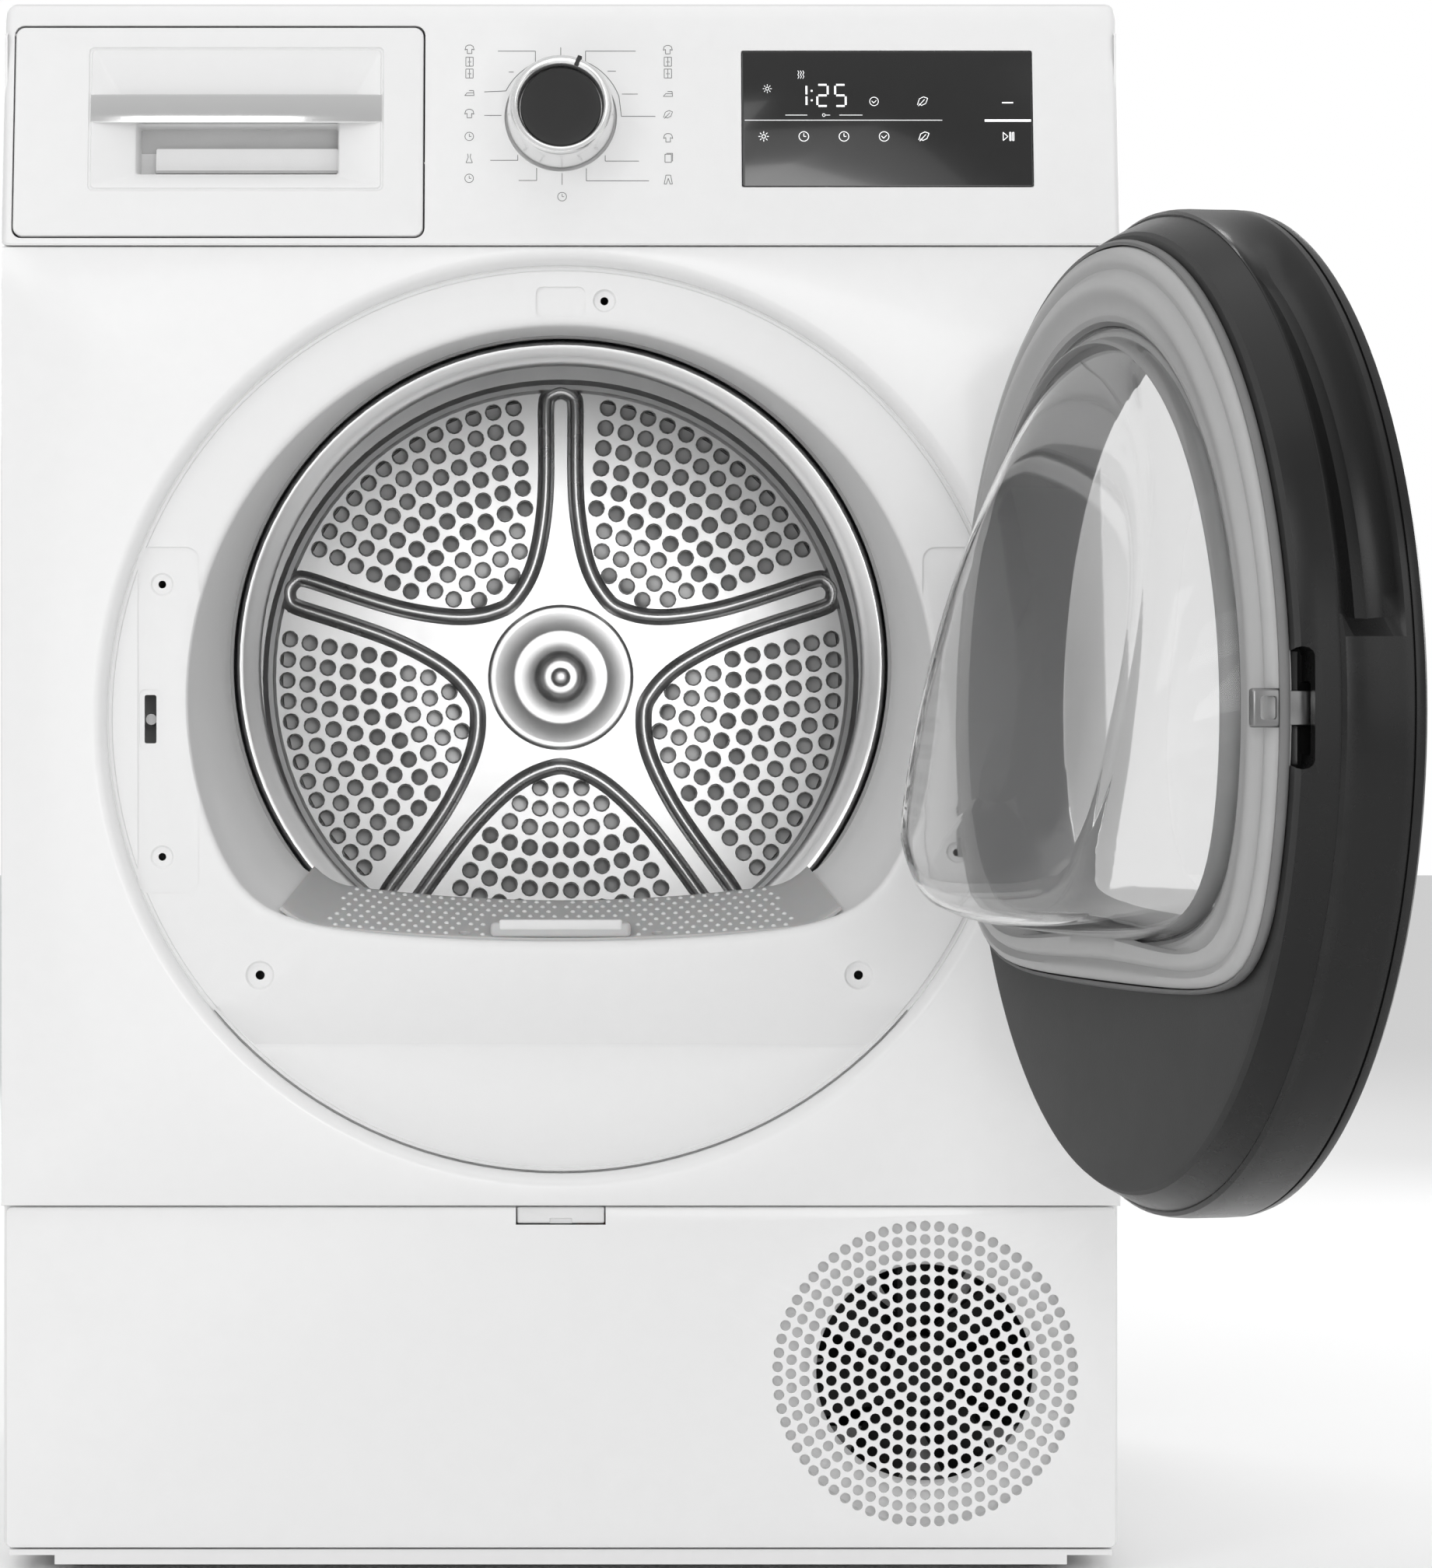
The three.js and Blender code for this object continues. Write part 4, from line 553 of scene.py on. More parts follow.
def fascia_shell():
    """The leaning control fascia with its openings."""
    low, high = FASCIA_LOW, FASCIA_HIGH
    top_front = lean_y(high[2])

    def profile(x, inset):
        return [(x, y, z) for y, z in ((low[1] + inset + 0.9, low[2] + inset * 0.4),
                (low[1] + inset + 0.1, low[2] + 0.9 + inset), (lean_y(high[2] - 9) + inset, high[2] - 9),
                (top_front + 0.2 + inset, high[2] - 4.2 - inset * 0.5), (top_front + 1.7 + inset,
                high[2] - 1.5 - inset * 0.8), (top_front + 4.6 + inset, high[2] - inset), (high[1],
                high[2] - inset), (high[1], low[2] + inset * 0.4))]

    rounds = [(0, 5), (0.6, 3), (1.8, 1.5), (3.4, 0.5), (6, 0)]
    stations = [(low[0] + x, r) for x, r in rounds] + [(high[0] - x, r) for x, r in reversed(rounds)]
    piece = skin("fascia_shell", [profile(x, r) for x, r in stations], **SOLID)
    gap = 1.0
    drawer = skin("drawer_hole",
            [framed(DRAWER_LOW[0] - gap * 0.7, DRAWER_HIGH[0] + gap, 713.2, 829.6, y,
            5.5) for y in (low[1] - 8, high[1] + 8)], **SOLID)
    pane = skin("pane_hole",
            [framed(GLASS_LOW[0] - 0.35, GLASS_HIGH[0] + 0.35, GLASS_LOW[2] - 0.35, GLASS_HIGH[2] + 0.35,
            lambda z, d=d: lean_y(z, d), 1.2) for d in (-8, 3.2)], **SOLID)
    recess = knob_turned("knob_recess", [(30.6, 8), (30.6, 0.6), (30.0, -0.2), (29.6, -3)], **SOLID)
    cut(piece, [drawer])
    cut(piece, [pane])
    cut(piece, [recess])
    return fit(piece, "fascia_shell", "cabinet", WHITE_MOULDED, "plastic_white", "control_fascia", smooth=30)


KNOB_CENTRE = Vector((0, lean_y(779.3), 779.3))


def knob_turned(name, profile, sides=ROUND, **ends):
    """A piece turned about the knob's axis; the profile is pairs of radius and height over the fascia."""
    loops = [[(r * math.cos(t), -h, r * math.sin(t)) for t in angles(sides)] for r, h in profile]
    piece = skin(name, loops, **ends)
    tilt = Matrix.Rotation(-math.atan(LEAN), 4, "X")
    return carry(piece, Matrix.Translation(KNOB_CENTRE * MM) @ tilt)


def knob():
    """The programme knob: a satin ring with a chamfered face, a pointer and a dark middle."""
    profile = [(24, 0.6), (28.6, 0.6), (28.9, 1.4), (28.8, 4), (28.2, 14), (27.8, 20.5), (27.2, 22.8),
            (26.2, 23.8), (24.6, 23.9), (23.4, 23.3), (22.4, 21.6), (22.1, 19.4), (21.9, 16)]
    ring = knob_turned("knob_ring", profile, **SOLID)
    fit(ring, "knob_ring", "knob", SATIN, "chrome", "programme_knob", smooth=40)
    disc = knob_turned("knob_disc", [(21.5, 16.1), (21.5, 18.4), (21.2, 19.0), (18, 19.4), (9, 19.6),
            (3, 19.6)], **SOLID)
    fit(disc, "knob_disc", "knob", CHARCOAL, "plastic_dark", "knob_cap")
    turn = math.radians(69)
    mark = block("mark", (22.6, -24.35, -1.2), (27.2, -22.9, 1.2), 0.4, 2)
    side = block("side", (26.9, -23.2, -1.2), (28.9, -4, 1.2), 0.4, 2)
    pointer = join([mark, side])
    place = Matrix.Translation(KNOB_CENTRE * MM) @ Matrix.Rotation(-math.atan(LEAN), 4,
            "X") @ Matrix.Rotation(-turn, 4, "Y")
    carry(pointer, place)
    fit(pointer, "knob_pointer", "knob", CHARCOAL, "plastic_dark")


MARK_PROUD = 0.12


def leaning_bar(name, a, b, width, deep=0.0, proud=MARK_PROUD):
    """A thin printed line from a to b on the leaning face; points are (x, z)."""
    along = Vector((b[0] - a[0], b[1] - a[1])).normalized()
    side = Vector((-along.y, along.x)) * width / 2
    ring = [Vector(a) + side, Vector(b) + side, Vector(b) - side, Vector(a) - side]
    loops = [[(p.x, lean_y(p.y, deep + d), p.y) for p in ring] for d in (0.3, -proud)]
    return skin(name, loops, **SOLID)


def leaning_ring(name, centre, radius, width, deep=0.0, sides=24, proud=MARK_PROUD):
    """A thin printed circle on the leaning face."""
    x0, z0 = centre
    loops = []
    for r, d in ((radius, 0.3), (radius, -proud), (radius - width, -proud), (radius - width, 0.3)):
        loops.append([(x0 + r * math.cos(t), lean_y(z0 + r * math.sin(t), deep + d),
                z0 + r * math.sin(t)) for t in angles(sides)])
    return skin(name, loops, ring=True)


def polyline(name, points, width, deep=0.0, proud=MARK_PROUD):
    return [leaning_bar(name, a, b, width, deep, proud) for a, b in zip(points, points[1:])]


def arc_points(centre, radius, first, last, count=9):
    turns = [math.radians(first + (last - first) * k / (count - 1)) for k in range(count)]
    return [(centre[0] + radius * math.cos(t), centre[1] + radius * math.sin(t)) for t in turns]


def picture(kind, x, z, size, width, deep=0.0):
    """A plain generic sign: clock, cupboard, iron, shirt, trousers, towel, sun, leaf or basin."""
    s = size / 2

    def at(*points):
        return polyline(kind, [(x + u * s, z + v * s) for u, v in points], width, deep)

    if kind == "clock":
        return [leaning_ring(kind, (x, z), s, width, deep)] + at((0, 0.6), (0, 0), (0.45, 0))
    if kind == "cupboard":
        return at((-0.8, -1), (-0.8, 1), (0.8, 1), (0.8, -1), (-0.8, -1)) + at((0, 1), (0,
                -1)) + at((-0.25, 0.1), (-0.25, -0.2)) + at((0.25, 0.1), (0.25, -0.2))
    if kind == "iron":
        return at((-1, -0.6), (1, -0.6), (0.9, 0.5), (-0.1, 0.5)) + at((-1, -0.6), (-0.5, 0), (0.9, 0))
    if kind == "shirt":
        return at((-0.5, -0.9), (-0.5, 0.1), (-1, -0.1), (-0.8, 0.7), (-0.3, 1), (0.3, 1), (0.8, 0.7), (1,
                -0.1), (0.5, 0.1), (0.5, -0.9), (-0.5, -0.9))
    if kind == "towel":
        return at((-0.7, -1), (-0.7, 0.8), (0.7, 0.8), (0.7, -1), (-0.7, -1)) + at((0.95, -0.8), (0.95,
                1), (-0.4, 1))
    if kind == "trousers":
        return at((-0.5, 1), (0.5, 1), (0.9, -1), (0.4, -1), (0, 0.3), (-0.4, -1), (-0.9, -1), (-0.5, 1))
    if kind == "dress":
        return at((-0.35, 1), (-0.2, 0.2), (-0.7, -1), (0.7, -1), (0.2, 0.2), (0.35, 1))
    if kind == "sun":
        rays = [at((0.62 * math.cos(t), 0.62 * math.sin(t)), (math.cos(t), math.sin(t))) for t in angles(8)]
        return [leaning_ring(kind, (x, z), s * 0.42, width, deep)] + sum(rays, [])
    if kind == "basin":
        return [leaning_ring(kind, (x, z), s, width, deep)] + at((-0.5, 0.1), (-0.1, -0.35), (0.5, 0.25))
    if kind == "leaf":
        return at((-1, -0.7), (-0.6, 0.5), (0.2, 0.9), (1, 0.6), (0.6, -0.4), (-0.2, -0.8), (-0.7,
                -0.5)) + at((-0.8, -0.9), (0.4, 0.4))
    if kind == "waves":
        return sum((at((u - 0.2, -1), (u + 0.1, -0.5), (u - 0.2, 0), (u + 0.1, 0.5), (u - 0.2,
                1)) for u in (-0.6, 0, 0.6)), [])
    if kind == "play":
        return at((-0.9, -0.8), (-0.9, 0.8), (0, 0), (-0.9, -0.8)) + at((0.35, -0.8), (0.35, 0.8), (0.6,
                0.8), (0.6, -0.8), (0.35, -0.8)) + at((0.9, -0.8), (0.9, 0.8), (1.15, 0.8), (1.15, -0.8),
                (0.9, -0.8))
    return []


def dial_marks():
    """Ticks, leader lines and plain signs round the knob."""
    x0, z0 = KNOB_CENTRE.x, KNOB_CENTRE.z
    line = 0.32
    bars = []

    def run(*points):
        bars.extend(polyline("tick", [(x0 + u, z0 + v) for u, v in points], line))

    run((0, 38.3), (0, 32))
    run((0.7, -30.6), (0.7, -37))
    run((-33.7, 36.2), (-13.6, 36.2), (-13.6, 29.7))
    run(*[(p[0] - x0, p[1] - z0) for p in arc_points((x0, z0), 32.7, 114.7, 154)], (-41, 13.8))
    run((-27.9, 24.7), (-25.3, 24.7))
    run((-41, 0.9), (-31.8, 0.9))
    run((-37.7, -23.7), (-23, -23.7), (-23, -20.8))
    run((-22.5, -34.7), (-12.9, -34.7), (-12.9, -27.9))
    run((40.2, 36.2), (13.3, 36.2), (13.3, 30.3))
    run(*[(p[0] - x0, p[1] - z0) for p in arc_points((x0, z0), 33.2, 66, 20)], (32.5, 0.4), (50.7, 0.4))
    run((25.2, 25.2), (29.6, 25.2))
    run((32.8, 12.6), (41.3, 12.6))
    run((23.8, -21), (23.8, -24.1), (41.8, -24.1))
    run((13.7, -28.1), (13.7, -34.9), (47.2, -34.9))
    left = [("shirt", 37.1), ("cupboard", 30.4), ("cupboard", 23.9), ("iron", 13.3), ("shirt", 1.8),
            ("clock", -10.6), ("dress", -22.5), ("clock", -33.5)]
    right = [("shirt", 36.9), ("cupboard", 30.4), ("cupboard", 23.9), ("iron", 12.8), ("leaf", 1.4),
            ("shirt", -11.5), ("towel", -22.3), ("trousers", -34.2)]
    for kind, up in left:
        bars += picture(kind, x0 - 49, z0 + up, 4.9, 0.3)
    for kind, up in right:
        bars += picture(kind, x0 + 57.5, z0 + up, 4.9, 0.3)
    bars += picture("clock", x0 + 0.7, z0 - 43.5, 5, 0.3)
    piece = join(bars)
    return fit(piece, "dial_marks", "cabinet", MARKING, "plastic_grey", smooth=20)


DIGITS = {"1": "bc", "2": "abged", "5": "afgcd"}
SEGMENTS = {"a": ((0.1, 2), (0.9, 2)), "b": ((1, 1.9), (1, 1.1)), "c": ((1, 0.9), (1, 0.1)),
        "d": ((0.1, 0), (0.9, 0)), "e": ((0, 0.9), (0, 0.1)), "f": ((0, 1.9), (0, 1.1)), "g": ((0.1, 1),
        (0.9, 1))}


def display():
    """The black glass and what is lit on it."""
    corner = 1.0
    box = (GLASS_LOW[0], GLASS_HIGH[0], GLASS_LOW[2], GLASS_HIGH[2])

    def loop(inset, deep):
        return framed(box[0] + inset, box[1] - inset, box[2] + inset, box[3] - inset,
                      lambda z: lean_y(z, deep), corner)

    glass = skin("display_glass", [loop(0, 3), loop(0, 0.5), loop(0.25, 0.25), loop(0.6, 0.12)], **SOLID)
    fit(glass, "display_glass", "cabinet", GLOSS_BLACK, "plastic_black", "display_pane")
    deep, lit = 0.14, []
    height, wide = 5.8, 5.6
    for x, digit in ((126.2, "1"), (137.6, "2"), (147.2, "5")):
        for name in DIGITS[digit]:
            (u0, v0), (u1, v1) = SEGMENTS[name]
            lit.append(leaning_bar("segment", (x + u0 * wide, 785.4 + v0 * height), (x + u1 * wide,
                    785.4 + v1 * height), 1.05, deep))
    lit += [leaning_bar("colon", (134.6, z), (134.6, z + 1), 1, deep) for z in (788, 793.2)]
    lit += picture("waves", 129, 802.6, 4.4, 0.3, deep) + picture("sun", 110.8, 794.9, 4.8, 0.3, deep)
    lit += picture("basin", 168, 787.9, 5, 0.35, deep) + picture("leaf", 194, 787.9, 5.6, 0.35, deep)
    lit += polyline("dash", [(236.6, 787.2), (242.6, 787.2)], 0.7, deep)
    lit += polyline("line", [(120.4, 780.4), (132.1, 780.4)], 0.3, deep) + polyline("line",
            [(149.3, 780.4), (161.7, 780.4)], 0.3, deep)
    lit += polyline("line", [(98.6, 777.6), (204.5, 777.6)], 0.32, deep) + polyline("line",
            [(227.2, 777.4), (252, 777.4)], 1.3, deep)
    for kind, x in (("sun", 108.7), ("clock", 130.2), ("clock", 151.7), ("basin", 173.2), ("leaf", 194.5),
            ("play", 239.5)):
        lit += picture(kind, x, 768.7, 5.6, 0.4, deep)
    lit += [leaning_ring("key", (141, 780.4), 0.9, 0.3, deep, 12)] + polyline("key", [(141.9, 780.4),
            (144.4, 780.4)], 0.3, deep)
    piece = join(lit)
    return fit(piece, "display_lights", "cabinet", LIT, "plastic_white", smooth=20)


def drawer():
    """The drawer front with its framed hollow, the finger pocket and the bright band."""
    left, right = DRAWER_LOW[0], DRAWER_HIGH[0]
    bottom, top = 714.4, 828.6

    def loop(l, r, b, t, deep, corner):
        return framed(l, r, b, t, lambda z: lean_y(z, deep), corner)

    frame_box, pocket = (-252.3, -95.9, 739.9, 816.8), (-227.8, -119.6, 749.2, 776.6)

    def inset(box, by):
        return box[0] + by, box[1] - by, box[2] + by, box[3] - by

    outer = (left, right, bottom, top)
    loops = [loop(*outer, 20, 5), loop(*outer, 1.2, 5), loop(*inset(outer, 0.35), 0.45, 4.7),
            loop(*inset(outer, 1.1), 0.1, 4.2), loop(*inset(outer, 2), 0, 3.6),
            loop(*inset(frame_box, -1.0), 0, 2.9), loop(*inset(frame_box, -0.4), 1.1, 2.5),
            loop(*inset(frame_box, 0.3), 1.1, 2.3), loop(*inset(frame_box, 0.9), 0.2, 2.2),
            loop(*inset(frame_box, 2), 0.7, 2.1), loop(*inset(pocket, -2), 7.2, 2),
            loop(*inset(pocket, -0.6), 8.2, 1.4), loop(*pocket, 9.6, 1.2), loop(*inset(pocket, 1), 29,
            1.2)]
    face = skin("drawer_face", loops, end=True, facing=(0, -1, 0))
    thicken(face, 2)
    hollow = framed(pocket[0] + 9.5, pocket[1] - 0.5, pocket[2] + 2.3, pocket[3] - 12, 0, 1)
    step = skin("step", [[(x, lean_y(z, d), z) for x, _, z in hollow] for d in (23, 21.8)], **SOLID)
    # A grey strip along the bottom of the finger pocket: painted shade where the pocket's floor meets its
    # back
    foot = block("foot", (pocket[0] + 9.5, lean_y(750, 16), pocket[2] + 1.2), (pocket[1] - 0.4,
            lean_y(750, 22), pocket[2] + 2.8), 0.3, 2)
    face = join([face, step])
    fit(face, "drawer_face", "drawer", WHITE_MOULDED, "plastic_white", "drawer_front", smooth=30)
    fit(foot, "drawer_painted_shade_lip", "drawer", GREY_MOULDED, "plastic_grey")
    low_z, high_z = 776.2, 792
    shape = [(0.9, high_z), (0.25, high_z - 0.5), (0.1, high_z - 2), (0.0, (low_z + high_z) / 2), (0.1,
            low_z + 2), (0.25, low_z + 0.5), (0.9, low_z), (7.6, low_z + 0.3), (7.6, high_z - 0.3)]
    stations = [-252.0 + 156 * k / 24 for k in range(25)]
    loops = []
    for x in stations:
        bow = 0.9 * (1 - ((x + 174) / 78) ** 2)
        loops.append([(x, lean_y(z, d - bow * (1 if d < 2 else 0)), z) for d, z in shape])
    band = skin("bright_band", loops, **SOLID)
    return fit(band, "bright_band", "drawer", CHROME, "chrome", "drawer_grip_bar", smooth=30)


# ---------------------------------------------------------------- opening and drum
def soft_least(a, b, power):
    return (a ** -power + b ** -power) ** (-1 / power)


def offset_circle(radius, rise):
    """Reach of a circle whose middle lies above the point that angles are taken from."""
    return lambda t: rise * math.sin(t) + math.sqrt(radius ** 2 - (rise * math.cos(t)) ** 2)


def cut_below(reach, floor, power):
    """Reach of a shape that a curved floor line cuts off at the bottom."""
    def made(t):
        whole, s, c = reach(t), math.sin(t), math.cos(t)
        if s > -0.02:
            return whole
        low, high = 1.0, whole * 3
        for _ in range(40):
            middle = (low + high) / 2
            if DOOR_Z + middle * s > floor(middle * c):
                low = middle
            else:
                high = middle
        return soft_least(whole, low, power)
    return made


def mouth_floor(x):
    return 337.5 + 3.4 * (x / 91.5) ** 2


def rear_floor(x):
    return 356 + 11 * (x / 137) ** 2


MOUTH = cut_below(offset_circle(OPENING_RADIUS, OPENING_RISE), mouth_floor, 14)
REAR = cut_below(offset_circle(SEAL_RADIUS, DRUM_Z - DOOR_Z), rear_floor, 22)
FACE_Y = FRONT + 12
REAR_Y = FRONT + 90


def recess(name, x, z, radius, hole, deep=2.2):
    """The cutter for a round screw recess with a hole in its middle."""
    wide = turned(name, [(radius, FACE_Y - 2), (radius, FACE_Y + deep * 0.6),
            (radius - 1, FACE_Y + deep)], (x, z), 32, **SOLID)
    narrow = turned(name, [(hole, FACE_Y - 2), (hole, FACE_Y + 12)], (x, z), 20, **SOLID)
    return [wide, narrow]


def opening_frame():
    """The moulded frame of the opening, with its funnel, recesses and stepped lower part."""
    centre = (0, DOOR_Z)
    loops = [outline(249.3, FACE_Y + 3, centre, FINE), outline(249.3, FACE_Y, centre, FINE)]
    loops += [outline(reach, FACE_Y + deep, centre, FINE) for reach, deep in ((243, 0), (242.4, 0.9),
            (241, 0.9), (240.4, 0), (232, 0))]

    def grown(by, y):
        return outline(lambda t: MOUTH(t) + by, y, centre, FINE)

    loops += [grown(9, FACE_Y), grown(6, FACE_Y), grown(3.2, FACE_Y + 0.3), grown(1.4, FACE_Y + 1.2),
            grown(0.3, FACE_Y + 3), grown(0, FACE_Y + 6)]

    def between(share, y):
        return outline(lambda t: MOUTH(t) + (REAR(t) - MOUTH(t)) * share, y, centre, FINE)

    loops += [between(share, FACE_Y + 6 + (REAR_Y - FACE_Y - 6) * share) for share in (0.25, 0.5, 0.75, 0.97)]
    loops += [outline(lambda t: REAR(t) + 0.6, REAR_Y, centre, FINE)]
    piece = skin("opening_frame", loops, facing=(0, -1, 0))
    step_front(piece)
    thicken(piece, 3)
    cutters = []
    for x, z, r, hole in ((-213.9, 528.9, 6.2, 2.1), (-213.9, 382.7, 6.2, 2.1), (213.9, 382.7, 6.2, 2.1),
            (23.4, 681, 6.2, 2.2)):
        cutters += recess("recess", x, z, r, hole)
    for x in (-161.4, 159.8):
        cutters += recess("recess", x, 319.2, 7.7, 2.5)
    for tool in cutters:
        cut(piece, [tool])
    for side in (-1, 1):
        plate = framed(min(side * 194, side * 227), max(side * 194, side * 227), 363, 549, FACE_Y, 7)
        pad = skin("latch_plate", [[(x, y, z) for x, _, z in plate] for y in (FACE_Y - 3, FACE_Y + 1.1)],
                **SOLID)
        cut(piece, [pad])
    pocket = skin("pocket", [framed(-13.5, 13.2, 672.3, 688.6, y, 4) for y in (FACE_Y - 2, FACE_Y + 1.4)],
            **SOLID)
    slot = skin("slot", [framed(-226, -214.2, 440.6, 472.6, y, 3) for y in (FACE_Y - 3, FACE_Y + 1.6)],
            **SOLID)
    keyhole = block("keyhole", (-223.4, FACE_Y - 3, 443.6), (-217, FACE_Y + 12, 469.6), 1, 2)
    room = block("filter_room", (-134, FACE_Y + 5, 300), (134, FRONT + 76, 372))
    for tool in (pocket, slot, keyhole, room):
        cut(piece, [tool])
    chute = filter_chute()
    stubs = []
    for name in ("support_roller_left", "support_roller_right"):
        low, high = corners(name)
        place = ((low[0] + high[0]) / 2, (low[2] + high[2]) / 2)
        stubs.append(turned("stub", [(4.2, low[1] - 2), (4.2, REAR_Y + 8), (9, REAR_Y + 2), (9, REAR_Y)],
                place, 24, **SOLID))
    piece = join([piece, chute] + stubs)
    fit(piece, "opening_frame", "cabinet", WHITE_MOULDED, "plastic_white", "loading_frame", smooth=38)
    return piece


def step_front(piece):
    """Slopes the lower part of the frame's face back to a lower ledge."""
    slope_top, slope_low, drop = 303, 282, 6
    only(piece)
    bpy.ops.object.mode_set(mode="EDIT")
    for z in (slope_top, slope_low, slope_low - 2):
        bpy.ops.mesh.select_all(action="SELECT")
        bpy.ops.mesh.bisect(plane_co=(0, 0, z * MM), plane_no=(0, 0, 1))
    mesh = bmesh.from_edit_mesh(piece.data)
    for vert in mesh.verts:
        z = vert.co.z / MM
        if vert.co.y / MM < FACE_Y + 0.5 and z < slope_top + 0.01:
            share = min((slope_top - z) / (slope_top - slope_low), 1)
            lift = 1.0 if z < slope_low - 1.9 else 0
            vert.co.y += (drop * share - lift) * MM
    bmesh.update_edit_mesh(piece.data)
    bpy.ops.object.mode_set(mode="OBJECT")


def filter_chute():
    """The moulded pocket that the filter hangs in."""
    outer = block("filter_chute", (-137, FACE_Y + 10, 232), (137, FRONT + 78, 340), 1.5, 2)
    inner = block("room", (-134.2, FACE_Y + 12.6, 235), (134.2, FRONT + 75.4, 372), 1, 2)
    cut(outer, [inner])
    return outer


def lid_height(x, share):
    return mouth_floor(x) + (rear_floor(x) - mouth_floor(x)) * share


def filter_lid():
    """The filter: a dimpled lid that closes the funnel's floor, its handle and its pouch frame."""
    front_y, back_y, long_front, long_back = FACE_Y + 3.6, REAR_Y - 3, 150, 136
    bpy.ops.object.select_all(action="DESELECT")
    bpy.ops.mesh.primitive_grid_add(x_subdivisions=60, y_subdivisions=12, size=2)
    lid = bpy.context.object
    for vert in lid.data.vertices:
        u, share = vert.co.x, (vert.co.y + 1) / 2
        x = u * (long_front + (long_back - long_front) * share)
        end = max(0.0, (abs(u) - 0.86) / 0.14)
        z = lid_height(x, share) + 1.4 + 8 * end ** 2
        vert.co = Vector((x, front_y + (back_y - front_y) * share, z)) * MM
    total = sum((f.normal for f in lid.data.polygons), Vector())
    if total.z < 0:
        lid.data.flip_normals()
    thicken(lid, 2.2)
    holes = [skin("hole",
            [[(x + 3.2 * math.cos(t), front_y + 6 + 3.2 * math.sin(t),
            z) for t in angles(20)] for z in (325, 360)], **SOLID) for x in (-51.8, 52.2)]
    for hole in holes:
        cut(lid, [hole])
    soften(lid, 0.5, 2, 50)
    handle = block("handle", (-37.8, front_y - 0.4, 339.4), (37.8, front_y + 26, 347.5), 2.4, 3)
    hollow = block("hollow", (-31.5, front_y + 5, 341.8), (31.5, front_y + 17, 352), 1.6, 2)
    cut(handle, [hollow])
    pouch = block("pouch", (-130, FACE_Y + 15, 238), (130, FRONT + 73, 341), 2, 2)
    cut(pouch, [block("inside", (-127.5, FACE_Y + 17.5, 240.5), (127.5, FRONT + 70.5, 339), 1, 2)])
    for x in (-92, -30, 32, 94):
        cut(pouch, [block("window", (x - 27, FACE_Y, 248), (x + 25, FRONT + 90, 310), 3, 2)])
    body = join([lid, handle, pouch])
    fit(body, "filter_body", "filter", FILTER_GREY, "plastic_grey", "filter_frame", smooth=40)
    bar = block("filter_grip", (-33, front_y - 0.9, 343.4), (33, front_y + 3.4, 349), 1.1, 3)
    fit(bar, "filter_grip", "filter", WHITE_DOTS, "plastic_white")
    dot = skin("dot", [[(r * math.cos(t), r * math.sin(t), z) for t in angles(8)] for r,
            z in ((1.6, -0.4), (1.3, 0.5), (0.6, 0.95))], **SOLID)
    places = []
    for row in range(8):
        share = 0.06 + row * 0.125
        reach = 0.85 * (long_front + (long_back - long_front) * share)
        step = 6.6
        first = 42 if share < 0.45 else 3.3
        count = int((reach - first) / step)
        for k in range(count + 1):
            x = first + (row % 2) * step / 2 + k * step
            if x > reach or (abs(x - 52) < 6 and share < 0.2):
                continue
            for side in (-1, 1):
                places.append(shift(side * x, front_y + (back_y - front_y) * share, lid_height(x,
                        share) + 1.4))
    dots = copies(dot, places)
    fit(dots, "filter_dots", "filter", WHITE_DOTS, "plastic_white", smooth=60)


def seal_ring():
    profile = [(SEAL_RADIUS - 1.2, -209.4), (SEAL_RADIUS + 1.5, -210.2), (SEAL_RADIUS + 2.8, -208),
            (SEAL_RADIUS + 2.8, -196), (SEAL_RADIUS + 1, -194.6), (SEAL_RADIUS - 0.6, -196)]
    piece = turned("drum_seal", profile, (0, DRUM_Z), FINE, ring=True)
    return fit(piece, "drum_seal", "cabinet", FELT, "rubber", "front_seal", smooth=50)


def drum():
    """The drum: a rolled bright lip, front wall and round shell."""
    front, back, r = DRUM_LOW[1] + 14, DRUM_HIGH[1], DRUM_RADIUS
    profile = [(r, back), (r, front + 3), (r - 1, front + 1), (r - 4, front), (184, front), (181,
            front - 2), (180.4, front - 6), (179.8, front - 11), (178.6, front - 12.4), (177.4,
            front - 12.6), (176, front - 11.8), (172, front - 8), (169.4, front - 6), (167.6,
            front - 4.6), (166.8, front - 3), (167.4, front - 0.8), (170, front + 0.6), (184,
            front + 1.2), (r - 4, front + 1.4), (r - 1.2, front + 4), (r - 1.2, back - 2)]
    shell = turned("drum_body", profile, (0, DRUM_Z), ROUND, ring=True)
    fit(shell, "drum_body", "drum", POLISHED, "steel", "drum_shell", smooth=40)


VENT_PITCH = 7.19
VENT_ROWS = 12
VENT_HOLE = 2.9
HOLE_ROWS = (13, 12, 11, 10, 9, 8, 6, 5, 3)
HOLE_PITCH = 12.7
HOLE_RADIUS = 4.6
STAR_ARMS = 5


def hole_places():
    """Middles of the holes between the arms of the star, as (x, z) from the drum's axis."""
    found = []
    for arm in range(STAR_ARMS):
        middle = math.radians(90 + 36 + 72 * arm)
        for row, count in enumerate(HOLE_ROWS):
            radius = 172.5 - row * HOLE_PITCH
            pitch = HOLE_PITCH * 1.03 / radius
            for k in range(count):
                t = middle + (k - (count - 1) / 2) * pitch
                found.append((radius * math.cos(t), radius * math.sin(t)))
    return found


def smooth_curve(points, steps):
    """A closed smooth line through the points."""
    made = []
    n = len(points)
    for k in range(n):
        a, b, c, d = (Vector(points[(k + m - 1) % n]) for m in range(4))
        for i in range(steps):
            t = i / steps
            square = (2 * a - 5 * b + 4 * c - d) * t * t
            cube = (3 * b - a - 3 * c + d) * t ** 3
            made.append(0.5 * (2 * b + (c - a) * t + square + cube))
    return made


